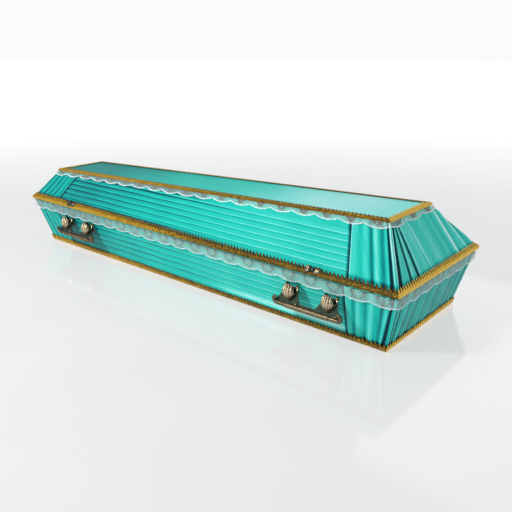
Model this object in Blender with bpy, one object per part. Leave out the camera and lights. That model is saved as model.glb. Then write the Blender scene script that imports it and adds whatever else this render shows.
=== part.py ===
# A wooden coffin of tapered, slanted boards, covered in pleated and gathered satin,
# edged with woven braid and lace, with four cast handles and four castings on the lid.
#
# Metres, +Z up. X runs along the coffin with the head end at +X, z = 0 is the ground,
# and right is the -Y side, as seen from the foot end.

import math

import bmesh
import bpy
from mathutils import Matrix, Vector

GAP = 0.0003               # clearance between two pieces that touch

# Boards
BOARD = 0.020              # thickness of every board
BOX_LENGTH = 1.9776        # over the boards, at the joint with the lid
BOX_WIDTH_HEAD = 0.6176
BOX_WIDTH_FOOT = 0.4689
BOX_HEIGHT = 0.2073        # ground to the joint
BOX_SIDE_LEAN = 0.2588     # how far a wall leans out, for each metre up
BOX_HEAD_LEAN = 0.2595
BOX_FOOT_LEAN = 0.2822
LID_OVERHANG = 0.0030      # the lid's boards past the box's, all round
LID_EDGE = 0.0106          # height of the lid's plumb lower edge
LID_RISE_HEAD = 0.1872     # joint to the top board's upper face, at the two ends of the lid
LID_RISE_FOOT = 0.1336
LID_SIDE_LEAN = 0.9408     # how far a wall leans in, for each metre up
LID_HEAD_LEAN = 0.7330
LID_FOOT_LEAN = 0.5770

# Cloth
CLOTH_THIN = 0.0015        # flat cloth with its backing
CLOTH_FULL = 0.0050        # over the lip of a pleat or the crest of a gather
LIP_TUCK = 0.0010          # how far the cloth goes up behind a pleat's lip
BOX_PLEAT_PITCH = 0.0270   # from lip to lip, in height; as many as fit
BOX_PLEAT_START = 0.0375   # height of the lowest lip over the ground
LID_PLEAT_PITCH = 0.0177
LID_PLEAT_START = 0.0270   # height of the lowest lip over the lid's widest line
PLEAT_LIFT = 0.0004        # how far a pleat's back lifts off the board where the pleat is tucked in
PLEAT_RUNS = 5             # stretches of a pleat, between the places where its height changes
PLEAT_EVEN = 0.80          # least height of the pleated cloth, as a share of the full one
GATHER_PITCH = 0.026       # from crest to crest of the gathered end cloth
GATHER_CREST = 0.36        # where the crest stands between two hollows, as a share
GATHER_EVEN = 0.70         # least height of a crest, as a share of the full one
GATHER_WANDER = 2.4        # radians from one crest or lip to the next, along the wave of their heights
FAN_LID = 1.35             # how strongly the end folds fan out, 1 is not at all
FAN_BOX = 1.30
CUFF_LID_HEAD_RIM = 0.183  # how far each end cloth runs round the corner onto the sides
CUFF_LID_HEAD_TOP = 0.137
CUFF_LID_FOOT_RIM = 0.190
CUFF_LID_FOOT_TOP = 0.156
CUFF_BOX_HEAD_RIM = 0.185
CUFF_BOX_HEAD_BASE = 0.134
CUFF_BOX_FOOT_RIM = 0.155
CUFF_BOX_FOOT_BASE = 0.180

# Braid and lace
BRAID = 0.0025
BASE_BRAID_LOW = 0.0010    # the base braid's lower edge over the ground
BASE_BRAID_WIDTH = 0.0260
RIM_BRAID_UP = 0.0165      # height of the rim braid above the lid's widest line
TOP_BRAID_IN = 0.0150      # the top braid's width on the lid's top
TOP_BRAID_DOWN = 0.0075    # and its height down the slope
LACE = 0.0010
LACE_PITCH = 0.0925        # one scallop
LACE_SCALLOP = 0.0080      # depth of a scallop
LACE_STEPS = 4             # straight edges in a scallop
BOX_LACE_TOP = 0.0030      # the box's lace starts this far under the joint
BOX_LACE_DROP = 0.0370     # height of the lace, to the lowest of a scallop
LID_LACE_DROP = 0.0290

# Handles
HANDLE_FROM_HEAD = 0.3018  # middle of a handle from that end of the box, at the joint
HANDLE_FROM_FOOT = 0.3688
HANDLE_UNDER_LACE = 0.0050 # the brackets' seats under the lace's lowest edge
HANDLE_STANDOFF = 0.050    # middle of the bar from the cloth
BAR_SIDES = 8
BAR_STRAIGHT = 0.244
BAR_CURL = 0.018           # radius of the turned-up ends
BAR_CURL_END = 1.4         # radians that they turn through
BAR_RADIUS_MIDDLE = 0.0098
BAR_RADIUS_END = 0.0075
BAR_TIP_RADIUS = 0.0090
BAR_TIP_END = 0.0050       # radius of the flat on the tip
BAR_GRIP = 0.176           # length of the thick middle
BAR_SHOULDER = 0.0046      # length over which the grip thins to the ends
BRACKET_SPACING = 0.157
WEB_THICKNESS = 0.0040
WEB_TOP = 0.056            # height of the web at the brackets, up the wall
WEB_TOP_STANDOFF = 0.014   # and how far it is from the wall there
WEB_STRIP = 0.013          # height of the web between the brackets
WEB_HALF_WIDTH = 0.052
WEB_FLAT = 0.42            # share of the half width that keeps the full height
WEB_HOLLOW = 1.6           # how hollow its flanks are, 1 is straight
WEB_STEPS = 28
PALMETTE_WIDTH = 0.066
PALMETTE_FOOT_WIDTH = 0.028
PALMETTE_HEIGHT = 0.066
PALMETTE_LOW = 0.022       # its foot above the bar's middle
PALMETTE_THICKNESS = 0.0055
PALMETTE_LOBES = 5
PALMETTE_FLUTE = 0.0032
PALMETTE_NOTCH = 0.0060    # depth of the notches between the lobes
PALMETTE_FOOT_BACK = 0.001 # its front behind the bar's middle, at the foot, in the hollow and at the tip
PALMETTE_HOLLOW_BACK = 0.014
PALMETTE_TIP_BACK = 0.009
PALMETTE_CUP = 0.010       # how far its sides bend back
PALMETTE_ROUND = 0.40      # how much lower its side lobes are, as a share
PALMETTE_ROWS = 4
STEM_RADIUS_WALL = 0.0170
STEM_RADIUS_FRONT = 0.0120
STEM_HEIGHT_WALL = 0.045
STEM_HEIGHT_FRONT = 0.044
STEM_SIDES = 10

# Castings on the lid's rim
CASTING_FROM_HEAD = 0.3038
CASTING_FROM_FOOT = 0.3108
CASTING_LENGTH = 0.072
CASTING_WAIST_WIDTH = 0.0173
CASTING_EDGE = 0.0020      # thickness at its edge
CASTING_LOBE = 0.0065      # and over a lobe
CASTING_WAIST = 0.0040
CASTING_BOSS = 0.0095
CASTING_UNDER_EDGE = 0.005 # its middle under the rim braid's upper edge, in height
CASTING_SPOKES = 14

UP = Vector((0.0, 0.0, 1.0))
WALLS = ("right", "head", "left", "foot")
CLOTH_FACE = GAP + CLOTH_FULL
TRIM_FACE = CLOTH_FACE + GAP
LID_LOW = BOX_HEIGHT + GAP
LID_WIDE = BOX_HEIGHT + LID_EDGE
WIDE_CLIMB = 0.35          # the widest line of each layer climbs as the layer stands out


# Planes: a unit normal and how far the plane is along it

def level(height):
    return UP, height


def shifted(plane, distance):
    return plane[0], plane[1] + distance


def reversed_plane(plane):
    return -plane[0], -plane[1]


def through(normal, point):
    normal = normal.normalized()
    return normal, normal.dot(point)


def meet(a, b, c):
    """The point that three planes share."""
    return Matrix((a[0], b[0], c[0])).inverted() @ Vector((a[1], b[1], c[1]))


def plan_lines(overhang):
    """Each wall's outward direction in plan, and a point that its line passes through."""
    half, head, foot = BOX_LENGTH / 2, BOX_WIDTH_HEAD / 2, BOX_WIDTH_FOOT / 2
    taper = math.atan2(head - foot, BOX_LENGTH)
    outward = {
        "right": Vector((-math.sin(taper), -math.cos(taper), 0.0)),
        "head": Vector((1.0, 0.0, 0.0)),
        "left": Vector((-math.sin(taper), math.cos(taper), 0.0)),
        "foot": Vector((-1.0, 0.0, 0.0)),
    }
    point = {
        "right": Vector((half, -head, 0.0)),
        "head": Vector((half, 0.0, 0.0)),
        "left": Vector((half, head, 0.0)),
        "foot": Vector((-half, 0.0, 0.0)),
    }
    return {w: (outward[w], point[w] + overhang * outward[w]) for w in WALLS}


def leaning_walls(overhang, height, leans):
    """Four planes through the plan lines at one height. A positive lean is out, going up."""
    planes = {}
    for wall, (outward, point) in plan_lines(overhang).items():
        planes[wall] = through(outward - leans[wall] * UP, point + height * UP)
    return planes


BOX = leaning_walls(0.0, BOX_HEIGHT, {
    "right": BOX_SIDE_LEAN, "left": BOX_SIDE_LEAN, "head": BOX_HEAD_LEAN, "foot": BOX_FOOT_LEAN})
LID = leaning_walls(LID_OVERHANG, LID_WIDE, {
    "right": -LID_SIDE_LEAN, "left": -LID_SIDE_LEAN, "head": -LID_HEAD_LEAN, "foot": -LID_FOOT_LEAN})
LID_PLUMB = leaning_walls(LID_OVERHANG, LID_WIDE, {wall: 0.0 for wall in WALLS})


def lid_top(distance=0.0):
    """The top board's upper face, which climbs to the head end."""
    lid_length = BOX_LENGTH + 2 * LID_OVERHANG
    slope = (LID_RISE_HEAD - LID_RISE_FOOT) / lid_length
    middle = BOX_HEIGHT + (LID_RISE_HEAD + LID_RISE_FOOT) / 2
    return shifted(through(Vector((-slope, 0.0, 1.0)), middle * UP), distance)


def wall_at(shell, wall, distance):
    """A wall of the shell, pushed out. The distance may differ from wall to wall."""
    return shifted(shell[wall], distance(wall) if callable(distance) else distance)


def post(shell, wall, other, row, distance):
    """Where a wall meets its neighbour, or a seam's plane, at one row.

    A row is a plane, or "wide" for the lid's widest line, or "under" for the foot of the
    plumb edge below that line.
    """
    if row == "under":
        point = post(shell, wall, other, "wide", distance)
        return Vector((point.x, point.y, LID_LOW))
    if row == "wide":
        row = level(LID_WIDE + WIDE_CLIMB * distance)
    across = wall_at(shell, other, distance) if isinstance(other, str) else other
    return meet(row, wall_at(shell, wall, distance), across)


# Meshes and objects

def material(name, colour, roughness, metallic=0.0):
    made = bpy.data.materials.new(name)
    made.use_nodes = True
    shader = made.node_tree.nodes["Principled BSDF"]
    shader.inputs["Base Color"].default_value = (*colour, 1.0)
    shader.inputs["Roughness"].default_value = roughness
    shader.inputs["Metallic"].default_value = metallic
    made.diffuse_color = (*colour, 1.0)
    return made


def add_object(name, mesh, finish, smooth_angle=None):
    mesh.materials.clear()
    mesh.materials.append(finish)
    if smooth_angle is not None:
        mesh.shade_smooth()
        mesh.set_sharp_from_angle(angle=smooth_angle)
    made = bpy.data.objects.new(name, mesh)
    bpy.context.scene.collection.objects.link(made)
    return made


def mesh_from(bm, name):
    bmesh.ops.recalc_face_normals(bm, faces=bm.faces)
    mesh = bpy.data.meshes.new(name)
    bm.to_mesh(mesh)
    bm.free()
    return mesh


def closed_mesh(name, points, faces):
    bm = bmesh.new()
    verts = [bm.verts.new(point) for point in points]
    for face in faces:
        bm.faces.new([verts[i] for i in face])
    bmesh.ops.triangulate(bm, faces=[f for f in bm.faces if len(f.verts) > 4], ngon_method="EAR_CLIP")
    return mesh_from(bm, name)


def block(name, sides, finish):
    """The convex solid behind all of the given planes."""
    bm = bmesh.new()
    bmesh.ops.create_cube(bm, size=2 * BOX_LENGTH)
    for normal, distance in sides:
        cut = bmesh.ops.bisect_plane(
            bm, geom=bm.verts[:] + bm.edges[:] + bm.faces[:], dist=1e-7,
            plane_co=normal * distance, plane_no=normal, clear_outer=True)
        edges = [e for e in cut["geom_cut"] if isinstance(e, bmesh.types.BMEdge)]
        bmesh.ops.edgeloop_fill(bm, edges=edges)
    return add_object(name, mesh_from(bm, name), finish)


def strip_faces(first, second):
    """Quads between two rows of vertex numbers of the same length."""
    return [(first[i], first[i + 1], second[i + 1], second[i]) for i in range(len(first) - 1)]


def ring(name, shell, profile, finish):
    """A band that runs round all four walls. The profile lists (row, distance) pairs."""
    points, corners = [], []
    for i, wall in enumerate(WALLS):
        neighbour = WALLS[(i + 1) % 4]
        corners.append(range(len(points), len(points) + len(profile)))
        points += [post(shell, wall, neighbour, row, distance) for row, distance in profile]
    faces = []
    for i in range(4):
        start, end = list(corners[i]), list(corners[(i + 1) % 4])
        faces += strip_faces(start + start[:1], end + end[:1])
    return add_object(name, closed_mesh(name, points, faces), finish)


# The boards

def box_boards(wood):
    inside = -BOARD - GAP
    block("box_floor", [BOX[w] for w in WALLS] + [level(BOARD), reversed_plane(level(0.0))], wood)
    ends = [level(BOX_HEIGHT), reversed_plane(level(BOARD + GAP))]
    for side in ("right", "left"):
        block(f"box_board_{side}",
              [BOX[side], reversed_plane(shifted(BOX[side], -BOARD)), BOX["head"], BOX["foot"]] + ends, wood)
    for end in ("head", "foot"):
        block(f"box_board_{end}",
              [BOX[end], reversed_plane(shifted(BOX[end], -BOARD)),
               shifted(BOX["right"], inside), shifted(BOX["left"], inside)] + ends, wood)


def lid_boards(wood):
    inside = -BOARD - GAP
    block("lid_board_top", [LID[w] for w in WALLS] + [lid_top(), reversed_plane(lid_top(-BOARD))], wood)
    ends = [lid_top(inside), reversed_plane(level(LID_LOW))]
    for side in ("right", "left"):
        block(f"lid_board_{side}",
              [LID[side], LID_PLUMB[side], reversed_plane(shifted(LID[side], -BOARD)),
               LID["head"], LID_PLUMB["head"], LID["foot"], LID_PLUMB["foot"]] + ends, wood)
    for end in ("head", "foot"):
        block(f"lid_board_{end}",
              [LID[end], LID_PLUMB[end], reversed_plane(shifted(LID[end], -BOARD)),
               shifted(LID["right"], inside), shifted(LID["left"], inside)] + ends, wood)


# The cloth

def seam_plane(shell, side, end, low_row, low_run, high_row, high_run):
    """The plane of a cuff's edge, square to the side wall, facing away from the end."""
    low_corner = post(shell, side, end, low_row, 0.0)
    high_corner = post(shell, side, end, high_row, 0.0)
    along = shell[side][0].cross(UP).normalized()
    if along.dot(plan_lines(0.0)[end][0]) > 0:
        along = -along
    low, high = low_corner + along * low_run, high_corner + along * high_run
    across = (high - low).cross(shell[side][0])
    return through(across if across.dot(along) > 0 else -across, low)


def box_seam(side, end):
    rim, base = {"head": (CUFF_BOX_HEAD_RIM, CUFF_BOX_HEAD_BASE),
                 "foot": (CUFF_BOX_FOOT_RIM, CUFF_BOX_FOOT_BASE)}[end]
    return seam_plane(BOX, side, end, level(0.0), base, level(BOX_HEIGHT), rim)


def lid_seam(side, end):
    rim, top = {"head": (CUFF_LID_HEAD_RIM, CUFF_LID_HEAD_TOP),
                "foot": (CUFF_LID_FOOT_RIM, CUFF_LID_FOOT_TOP)}[end]
    return seam_plane(LID, side, end, "wide", rim, lid_top(), top)


def pleat_lips(start, pitch, stop):
    """Rows of knife pleats whose lips face down, like lapped boards, up to a height."""
    rows = []
    for i in range(math.floor((stop - start) / pitch + 0.75)):
        lip = start + i * pitch
        rows += [(level(lip + LIP_TUCK), GAP + CLOTH_THIN, GAP + PLEAT_LIFT), (level(lip), CLOTH_FACE, None)]
    return rows


def pleated_cloth(name, shell, side, seams, profile, finish):
    """Cloth on a long side between its two cuffs.

    The profile runs from low to high, as (row, distance of the face, distance of the back or None).
    Heights over the gap vary a little from row to row and along the wall, as in laid cloth.
    """
    backed = [i for i, (_, _, back) in enumerate(profile) if back is not None]
    rows = [(row, face) for row, face, _ in profile]
    rows += [(profile[i][0], profile[i][2]) for i in reversed(backed)]
    count = len(rows)
    points, faces = [], []
    for step in range(PLEAT_RUNS + 1):
        for i, (row, distance) in enumerate(rows):
            height = PLEAT_EVEN + (1 - PLEAT_EVEN) * math.sin(GATHER_WANDER * (step + i)) ** 2
            distance = GAP + (distance - GAP) * height
            start, stop = (post(shell, side, shifted(seam, GAP), row, distance) for seam in seams)
            points.append(start.lerp(stop, step / PLEAT_RUNS))
    for first in range(0, PLEAT_RUNS * count, count):
        loop = [first + i for i in range(count)] + [first]
        faces += strip_faces(loop, [i + count for i in loop])
    for first in (0, PLEAT_RUNS * count):
        for i, (low, high) in enumerate(zip(backed, backed[1:])):
            faces.append([first + j for j in (*range(low, high + 1), count - 2 - i, count - 1 - i)])
    return add_object(name, closed_mesh(name, points, faces), finish)


def box_side_cloth(side, finish):
    low, high = level(BASE_BRAID_LOW), level(BOX_HEIGHT - GAP)
    braid_top = BASE_BRAID_LOW + BASE_BRAID_WIDTH
    profile = [(low, CLOTH_FACE, GAP), (level(braid_top - LIP_TUCK), CLOTH_FACE, None),
               (level(braid_top), GAP + CLOTH_THIN, None)]
    profile += pleat_lips(BOX_PLEAT_START, BOX_PLEAT_PITCH, BOX_HEIGHT) + [(high, GAP + CLOTH_THIN, GAP)]
    seams = [box_seam(side, "foot"), box_seam(side, "head")]
    pleated_cloth(f"box_cloth_{side}", BOX, side, seams, profile, finish)


def lid_side_cloth(side, finish):
    braid_top = LID_WIDE + RIM_BRAID_UP
    profile = [("under", CLOTH_FACE, GAP), ("wide", CLOTH_FACE, GAP),
               (level(braid_top - LIP_TUCK), CLOTH_FACE, None), (level(braid_top), GAP + CLOTH_THIN, None)]
    profile += pleat_lips(LID_WIDE + LID_PLEAT_START, LID_PLEAT_PITCH, BOX_HEIGHT + LID_RISE_FOOT)
    profile += [(lid_top(), GAP + CLOTH_THIN, GAP)]
    seams = [lid_seam(side, "foot"), lid_seam(side, "head")]
    pleated_cloth(f"lid_cloth_{side}", LID, side, seams, profile, finish)


def gather_columns(length):
    """Hollows and crests along one stretch, as (share of the stretch, distance) pairs."""
    count = max(2, round(length / GATHER_PITCH))
    columns = []
    for i in range(count):
        height = GATHER_EVEN + (1 - GATHER_EVEN) * math.sin(GATHER_WANDER * i) ** 2
        crest = GAP + CLOTH_THIN + (CLOTH_FULL - CLOTH_THIN) * height
        columns += [(i / count, GAP + CLOTH_THIN), ((i + GATHER_CREST) / count, crest)]
    return columns


def gathered_cloth(name, shell, end, seams, rows, fan_low, fan_high, finish):
    """Cloth over one end and round both corners. Rows run from low to high."""
    before, after = WALLS[WALLS.index(end) - 1], WALLS[(WALLS.index(end) + 1) % 4]
    posts = [(before, seams[0]), (before, end), (end, after), (after, seams[1])]

    def at(stretch, share, row, distance):
        start = post(shell, *posts[stretch], row, distance)
        stop = post(shell, *posts[stretch + 1], row, distance)
        return start.lerp(stop, share)

    columns = []
    for stretch in range(3):
        run = (at(stretch, 1.0, rows[-1], GAP) - at(stretch, 0.0, rows[-1], GAP)).length
        columns += [(stretch, share, distance) for share, distance in gather_columns(run)]
    columns.append((2, 1.0, GAP + CLOTH_THIN))

    points, outer = [], []
    for number, row in enumerate(rows):
        height = number / (len(rows) - 1)
        fan = fan_low + (fan_high - fan_low) * height
        outer.append(list(range(len(points), len(points) + len(columns))))
        points += [at(stretch, share ** fan if stretch == 1 else share, row, distance)
                   for stretch, share, distance in columns]
    inner = []
    for row in rows:
        inner.append(list(range(len(points), len(points) + len(columns[::2]))))
        points += [at(stretch, share, row, GAP) for stretch, share, _ in columns[::2]]
    faces = []
    for i in (0, -1):
        for fold in range(len(inner[i]) - 1):
            faces.append(outer[i][2 * fold:2 * fold + 3] + inner[i][fold:fold + 2][::-1])
    for i in range(len(rows) - 1):
        faces += strip_faces(outer[i], outer[i + 1]) + strip_faces(inner[i], inner[i + 1])
        faces += [(outer[i][j], inner[i][j], inner[i + 1][j], outer[i + 1][j]) for j in (0, -1)]
    return add_object(name, closed_mesh(name, points, faces), finish)


def end_cloths(finish):
    for end, first, second in (("head", "right", "left"), ("foot", "left", "right")):
        fans = (FAN_BOX, 1.0) if end == "head" else (1.0, 1.0)
        gathered_cloth(f"box_cloth_{end}", BOX, end, [box_seam(first, end), box_seam(second, end)],
                       [level(BASE_BRAID_LOW), level(BOX_HEIGHT - GAP)], *fans, finish)
        fans = (1.0, FAN_LID) if end == "head" else (1.0, 1.0)
        gathered_cloth(f"lid_cloth_{end}", LID, end, [lid_seam(first, end), lid_seam(second, end)],
                       ["under", "wide", lid_top()], *fans, finish)


def top_cloth(finish):
    sides = [shifted(LID[w], CLOTH_FACE) for w in WALLS]
    block("lid_cloth_top", sides + [lid_top(GAP + CLOTH_THIN), reversed_plane(lid_top(GAP))], finish)


# Braid and lace

def on_top(run):
    """How far each wall moves in, so that its line on the lid's top moves in by the run."""
    return lambda wall: TRIM_FACE - run * math.hypot(LID[wall][0].x, LID[wall][0].y)


def braids(finish):
    low, high = level(BASE_BRAID_LOW), level(BASE_BRAID_LOW + BASE_BRAID_WIDTH)
    near, far = TRIM_FACE, TRIM_FACE + BRAID
    ring("braid_base", BOX, [(low, near), (low, far), (high, far), (high, near)], finish)
    high = level(LID_WIDE + RIM_BRAID_UP)
    ring("braid_rim", LID, [("under", near), ("under", far), ("wide", far), (high, far),
                            (high, near), ("wide", near)], finish)
    near, far = TRIM_FACE + LACE + GAP, TRIM_FACE + LACE + GAP + BRAID
    lower = GAP + CLOTH_THIN + GAP
    upper = lower + BRAID
    down = -TOP_BRAID_DOWN
    ring("braid_top", LID, [(lid_top(upper), on_top(TOP_BRAID_IN)), (lid_top(upper), far),
                            (lid_top(down), far), (lid_top(down), near), (lid_top(lower), near),
                            (lid_top(lower), on_top(TOP_BRAID_IN))], finish)


def lace(name, shell, top, drop, finish):
    """A band of lace round all four walls with scallops along its lower edge."""
    points, loops = [], []
    for distance in (TRIM_FACE, TRIM_FACE + LACE):
        upper, lower = [], []
        for i, wall in enumerate(WALLS):
            before, after = WALLS[i - 1], WALLS[(i + 1) % 4]
            run = (post(shell, before, wall, top, 0.0) - post(shell, wall, after, top, 0.0)).length
            steps = max(1, round(run / LACE_PITCH)) * LACE_STEPS
            for step in range(steps):
                phase = (step % LACE_STEPS) / LACE_STEPS
                edge = shifted(top, -drop + LACE_SCALLOP * (2 * phase - 1) ** 2)
                for row, loop in ((top, upper), (edge, lower)):
                    start = post(shell, before, wall, row, distance)
                    stop = post(shell, wall, after, row, distance)
                    loop.append(len(points))
                    points.append(start.lerp(stop, step / steps))
        loops += [upper + upper[:1], lower + lower[:1]]
    faces = []
    for first, second in ((0, 1), (2, 3), (0, 2), (1, 3)):
        faces += strip_faces(loops[first], loops[second])
    return add_object(name, closed_mesh(name, points, faces), finish)


# Castings, modelled lying on a wall: x along it, y up it, z out of it

def wall_frame(shell, wall, x, height, distance):
    """A frame on the wall, at one place along the coffin and one height."""
    plane = shifted(shell[wall], distance)
    out = plane[0]
    along = UP.cross(out).normalized()
    frame = Matrix((along, out.cross(along), out)).transposed().to_4x4()
    frame.translation = meet(plane, level(height), (Vector((1.0, 0.0, 0.0)), x))
    return frame


def grid_solid(name, front, back):
    """A closed solid between two grids of points of the same size."""
    rows, count = len(front), len(front[0])
    points = [point for grid in (front, back) for row in grid for point in row]

    def number(side, row, column):
        return (side * rows + row) * count + column

    faces = []
    for side in (0, 1):
        for row in range(rows - 1):
            faces += strip_faces([number(side, row, c) for c in range(count)],
                                 [number(side, row + 1, c) for c in range(count)])
    rim = [(0, c) for c in range(count)] + [(r, count - 1) for r in range(1, rows)]
    rim += [(rows - 1, c) for c in range(count - 2, -1, -1)] + [(r, 0) for r in range(rows - 2, -1, -1)]
    faces += strip_faces([number(0, *place) for place in rim], [number(1, *place) for place in rim])
    return closed_mesh(name, points, faces)


def bar_mesh():
    """The round bar: thick in the grip, with both ends turned up."""
    half, grip = BAR_STRAIGHT / 2, BAR_GRIP / 2
    path = [(0.0, 0.0, 0.0, BAR_RADIUS_MIDDLE), (grip, 0.0, 0.0, BAR_RADIUS_MIDDLE),
            (grip + BAR_SHOULDER, 0.0, 0.0, BAR_RADIUS_END), (half, 0.0, 0.0, BAR_RADIUS_END)]
    radii = (BAR_RADIUS_END, BAR_TIP_RADIUS, BAR_TIP_RADIUS, BAR_TIP_END)
    for i, radius in enumerate(radii):
        turn = BAR_CURL_END * (i + 1) / len(radii)
        path.append((half + BAR_CURL * math.sin(turn), BAR_CURL * (1 - math.cos(turn)), turn, radius))
    mirrored = [(-x, y, -turn, radius) for x, y, turn, radius in path[:0:-1]]
    points, faces, rings = [], [], []
    for x, y, turn, radius in mirrored + path:
        rings.append(range(len(points), len(points) + BAR_SIDES))
        for i in range(BAR_SIDES):
            angle = 2 * math.pi * (i + 0.5) / BAR_SIDES
            up = radius * math.cos(angle)
            points.append(Vector((x - up * math.sin(turn), y + up * math.cos(turn),
                                  HANDLE_STANDOFF + radius * math.sin(angle))))
    for first, second in zip(rings, rings[1:]):
        faces += strip_faces([*first, first[0]], [*second, second[0]])
    faces += [list(rings[0]), list(rings[-1])]
    return closed_mesh("bar", points, faces)


def web_mesh():
    """The plate behind the bar, which rises in two hollow-sided peaks to the brackets."""
    reach = BRACKET_SPACING / 2 + WEB_HALF_WIDTH
    climb = Vector((0.0, WEB_TOP, WEB_TOP_STANDOFF - HANDLE_STANDOFF))
    out = Vector((1.0, 0.0, 0.0)).cross(climb).normalized() * (WEB_THICKNESS / 2)
    grids = {1: [[], []], -1: [[], []]}
    for i in range(WEB_STEPS + 1):
        x = reach * (2 * i / WEB_STEPS - 1)
        off = abs(abs(x) - BRACKET_SPACING / 2) / WEB_HALF_WIDTH
        rise = min(1.0, max(0.0, (1 - off) / (1 - WEB_FLAT))) ** WEB_HOLLOW
        height = (WEB_STRIP + (WEB_TOP - WEB_STRIP) * rise) / WEB_TOP
        for side, rows in grids.items():
            for row, share in zip(rows, (0.0, height)):
                row.append(Vector((x, 0.0, HANDLE_STANDOFF)) + climb * share + out * side)
    return grid_solid("web", grids[1], grids[-1])


def palmette_mesh(centre):
    """A cupped leaf with fluted lobes, narrow at its foot and curled out at its tips."""
    columns = 2 * PALMETTE_LOBES
    front, back = [], []
    for row in range(PALMETTE_ROWS + 1):
        up = row / PALMETTE_ROWS
        spread = math.sin(math.pi * min(0.5, 0.72 * up))
        width = PALMETTE_FOOT_WIDTH + (PALMETTE_WIDTH - PALMETTE_FOOT_WIDTH) * spread
        hollow = PALMETTE_FOOT_BACK + (PALMETTE_HOLLOW_BACK - PALMETTE_FOOT_BACK) * math.sin(math.pi * up / 2)
        curl = (PALMETTE_HOLLOW_BACK - PALMETTE_TIP_BACK) * max(0.0, 2 * up - 1) ** 2
        front.append([])
        back.append([])
        for column in range(columns + 1):
            across = 2 * column / columns - 1
            lobe = 0.5 if column % 2 else -0.5
            height = PALMETTE_HEIGHT * up * (1 - PALMETTE_ROUND * across ** 2)
            height += PALMETTE_NOTCH * lobe * up ** 3
            out = HANDLE_STANDOFF - hollow + curl + (PALMETTE_FLUTE * lobe - PALMETTE_CUP * across ** 2) * up
            x = centre + across * width / 2
            front[-1].append(Vector((x, PALMETTE_LOW + height, out)))
            back[-1].append(Vector((x, PALMETTE_LOW + height, out - PALMETTE_THICKNESS)))
    return grid_solid("palmette", front, back)


def stem_mesh(centre):
    """The tapered stem from the wall to the back of the palmette."""
    points = []
    front = HANDLE_STANDOFF - PALMETTE_HOLLOW_BACK
    for out, height, radius in ((0.0, STEM_HEIGHT_WALL, STEM_RADIUS_WALL),
                                (front, STEM_HEIGHT_FRONT, STEM_RADIUS_FRONT)):
        for i in range(STEM_SIDES):
            angle = 2 * math.pi * i / STEM_SIDES
            points.append(Vector((centre + radius * math.cos(angle), height + radius * math.sin(angle), out)))
    low, high = list(range(STEM_SIDES)), list(range(STEM_SIDES, 2 * STEM_SIDES))
    faces = strip_faces(low + low[:1], high + high[:1]) + [low, high]
    return closed_mesh("stem", points, faces)


def united(meshes):
    """One mesh from several that overlap."""
    objects = [bpy.data.objects.new("piece", mesh) for mesh in meshes]
    for piece in objects:
        bpy.context.scene.collection.objects.link(piece)
    for piece in objects[1:]:
        union = objects[0].modifiers.new("union", "BOOLEAN")
        union.operation = "UNION"
        union.solver = "EXACT"
        union.object = piece
    depsgraph = bpy.context.evaluated_depsgraph_get()
    result = bpy.data.meshes.new_from_object(objects[0].evaluated_get(depsgraph))
    for piece in objects:
        bpy.data.objects.remove(piece)
    return result


def handles(finish):
    meshes = [bar_mesh(), web_mesh()]
    for side in (-1, 1):
        centre = side * BRACKET_SPACING / 2
        meshes += [palmette_mesh(centre), stem_mesh(centre)]
    casting = united(meshes)
    lace_low = BOX_HEIGHT - BOX_LACE_TOP - BOX_LACE_DROP
    for end, x in (("head", BOX_LENGTH / 2 - HANDLE_FROM_HEAD),
                   ("foot", HANDLE_FROM_FOOT - BOX_LENGTH / 2)):
        for side in ("right", "left"):
            reach = (STEM_HEIGHT_WALL + STEM_RADIUS_WALL) * math.hypot(BOX[side][0].x, BOX[side][0].y)
            seat = wall_frame(BOX, side, x, lace_low - HANDLE_UNDER_LACE - reach, TRIM_FACE)
            made = add_object(f"handle_{side}_{end}", casting.copy(), finish, math.radians(40))
            made.matrix_world = seat


def casting_mesh():
    """A small bow with a lobe at each end and a boss in its waist."""
    rings = ((1.0, 0.0), (1.0, CASTING_EDGE), (0.72, CASTING_LOBE), (0.36, CASTING_WAIST),
             (0.20, CASTING_BOSS))
    waist = CASTING_WAIST_WIDTH / 2
    points = []
    for share, height in rings:
        for i in range(CASTING_SPOKES):
            angle = 2 * math.pi * i / CASTING_SPOKES
            radius = waist + (CASTING_LENGTH / 2 - waist) * abs(math.cos(angle)) ** 3
            radius *= share
            points.append(Vector((radius * math.cos(angle), radius * math.sin(angle), height)))
    loops = [list(range(i * CASTING_SPOKES, (i + 1) * CASTING_SPOKES)) for i in range(len(rings))]
    faces = [loops[0], loops[-1]]
    for first, second in zip(loops, loops[1:]):
        faces += strip_faces(first + first[:1], second + second[:1])
    return closed_mesh("casting", points, faces)


def lid_castings(finish):
    casting = casting_mesh()
    for end, x in (("head", BOX_LENGTH / 2 - CASTING_FROM_HEAD),
                   ("foot", CASTING_FROM_FOOT - BOX_LENGTH / 2)):
        for side in ("right", "left"):
            height = LID_WIDE + RIM_BRAID_UP - CASTING_UNDER_EDGE
            seat = wall_frame(LID, side, x, height, TRIM_FACE + BRAID + GAP)
            made = add_object(f"lid_casting_{side}_{end}", casting.copy(), finish, math.radians(50))
            made.matrix_world = seat


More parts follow.
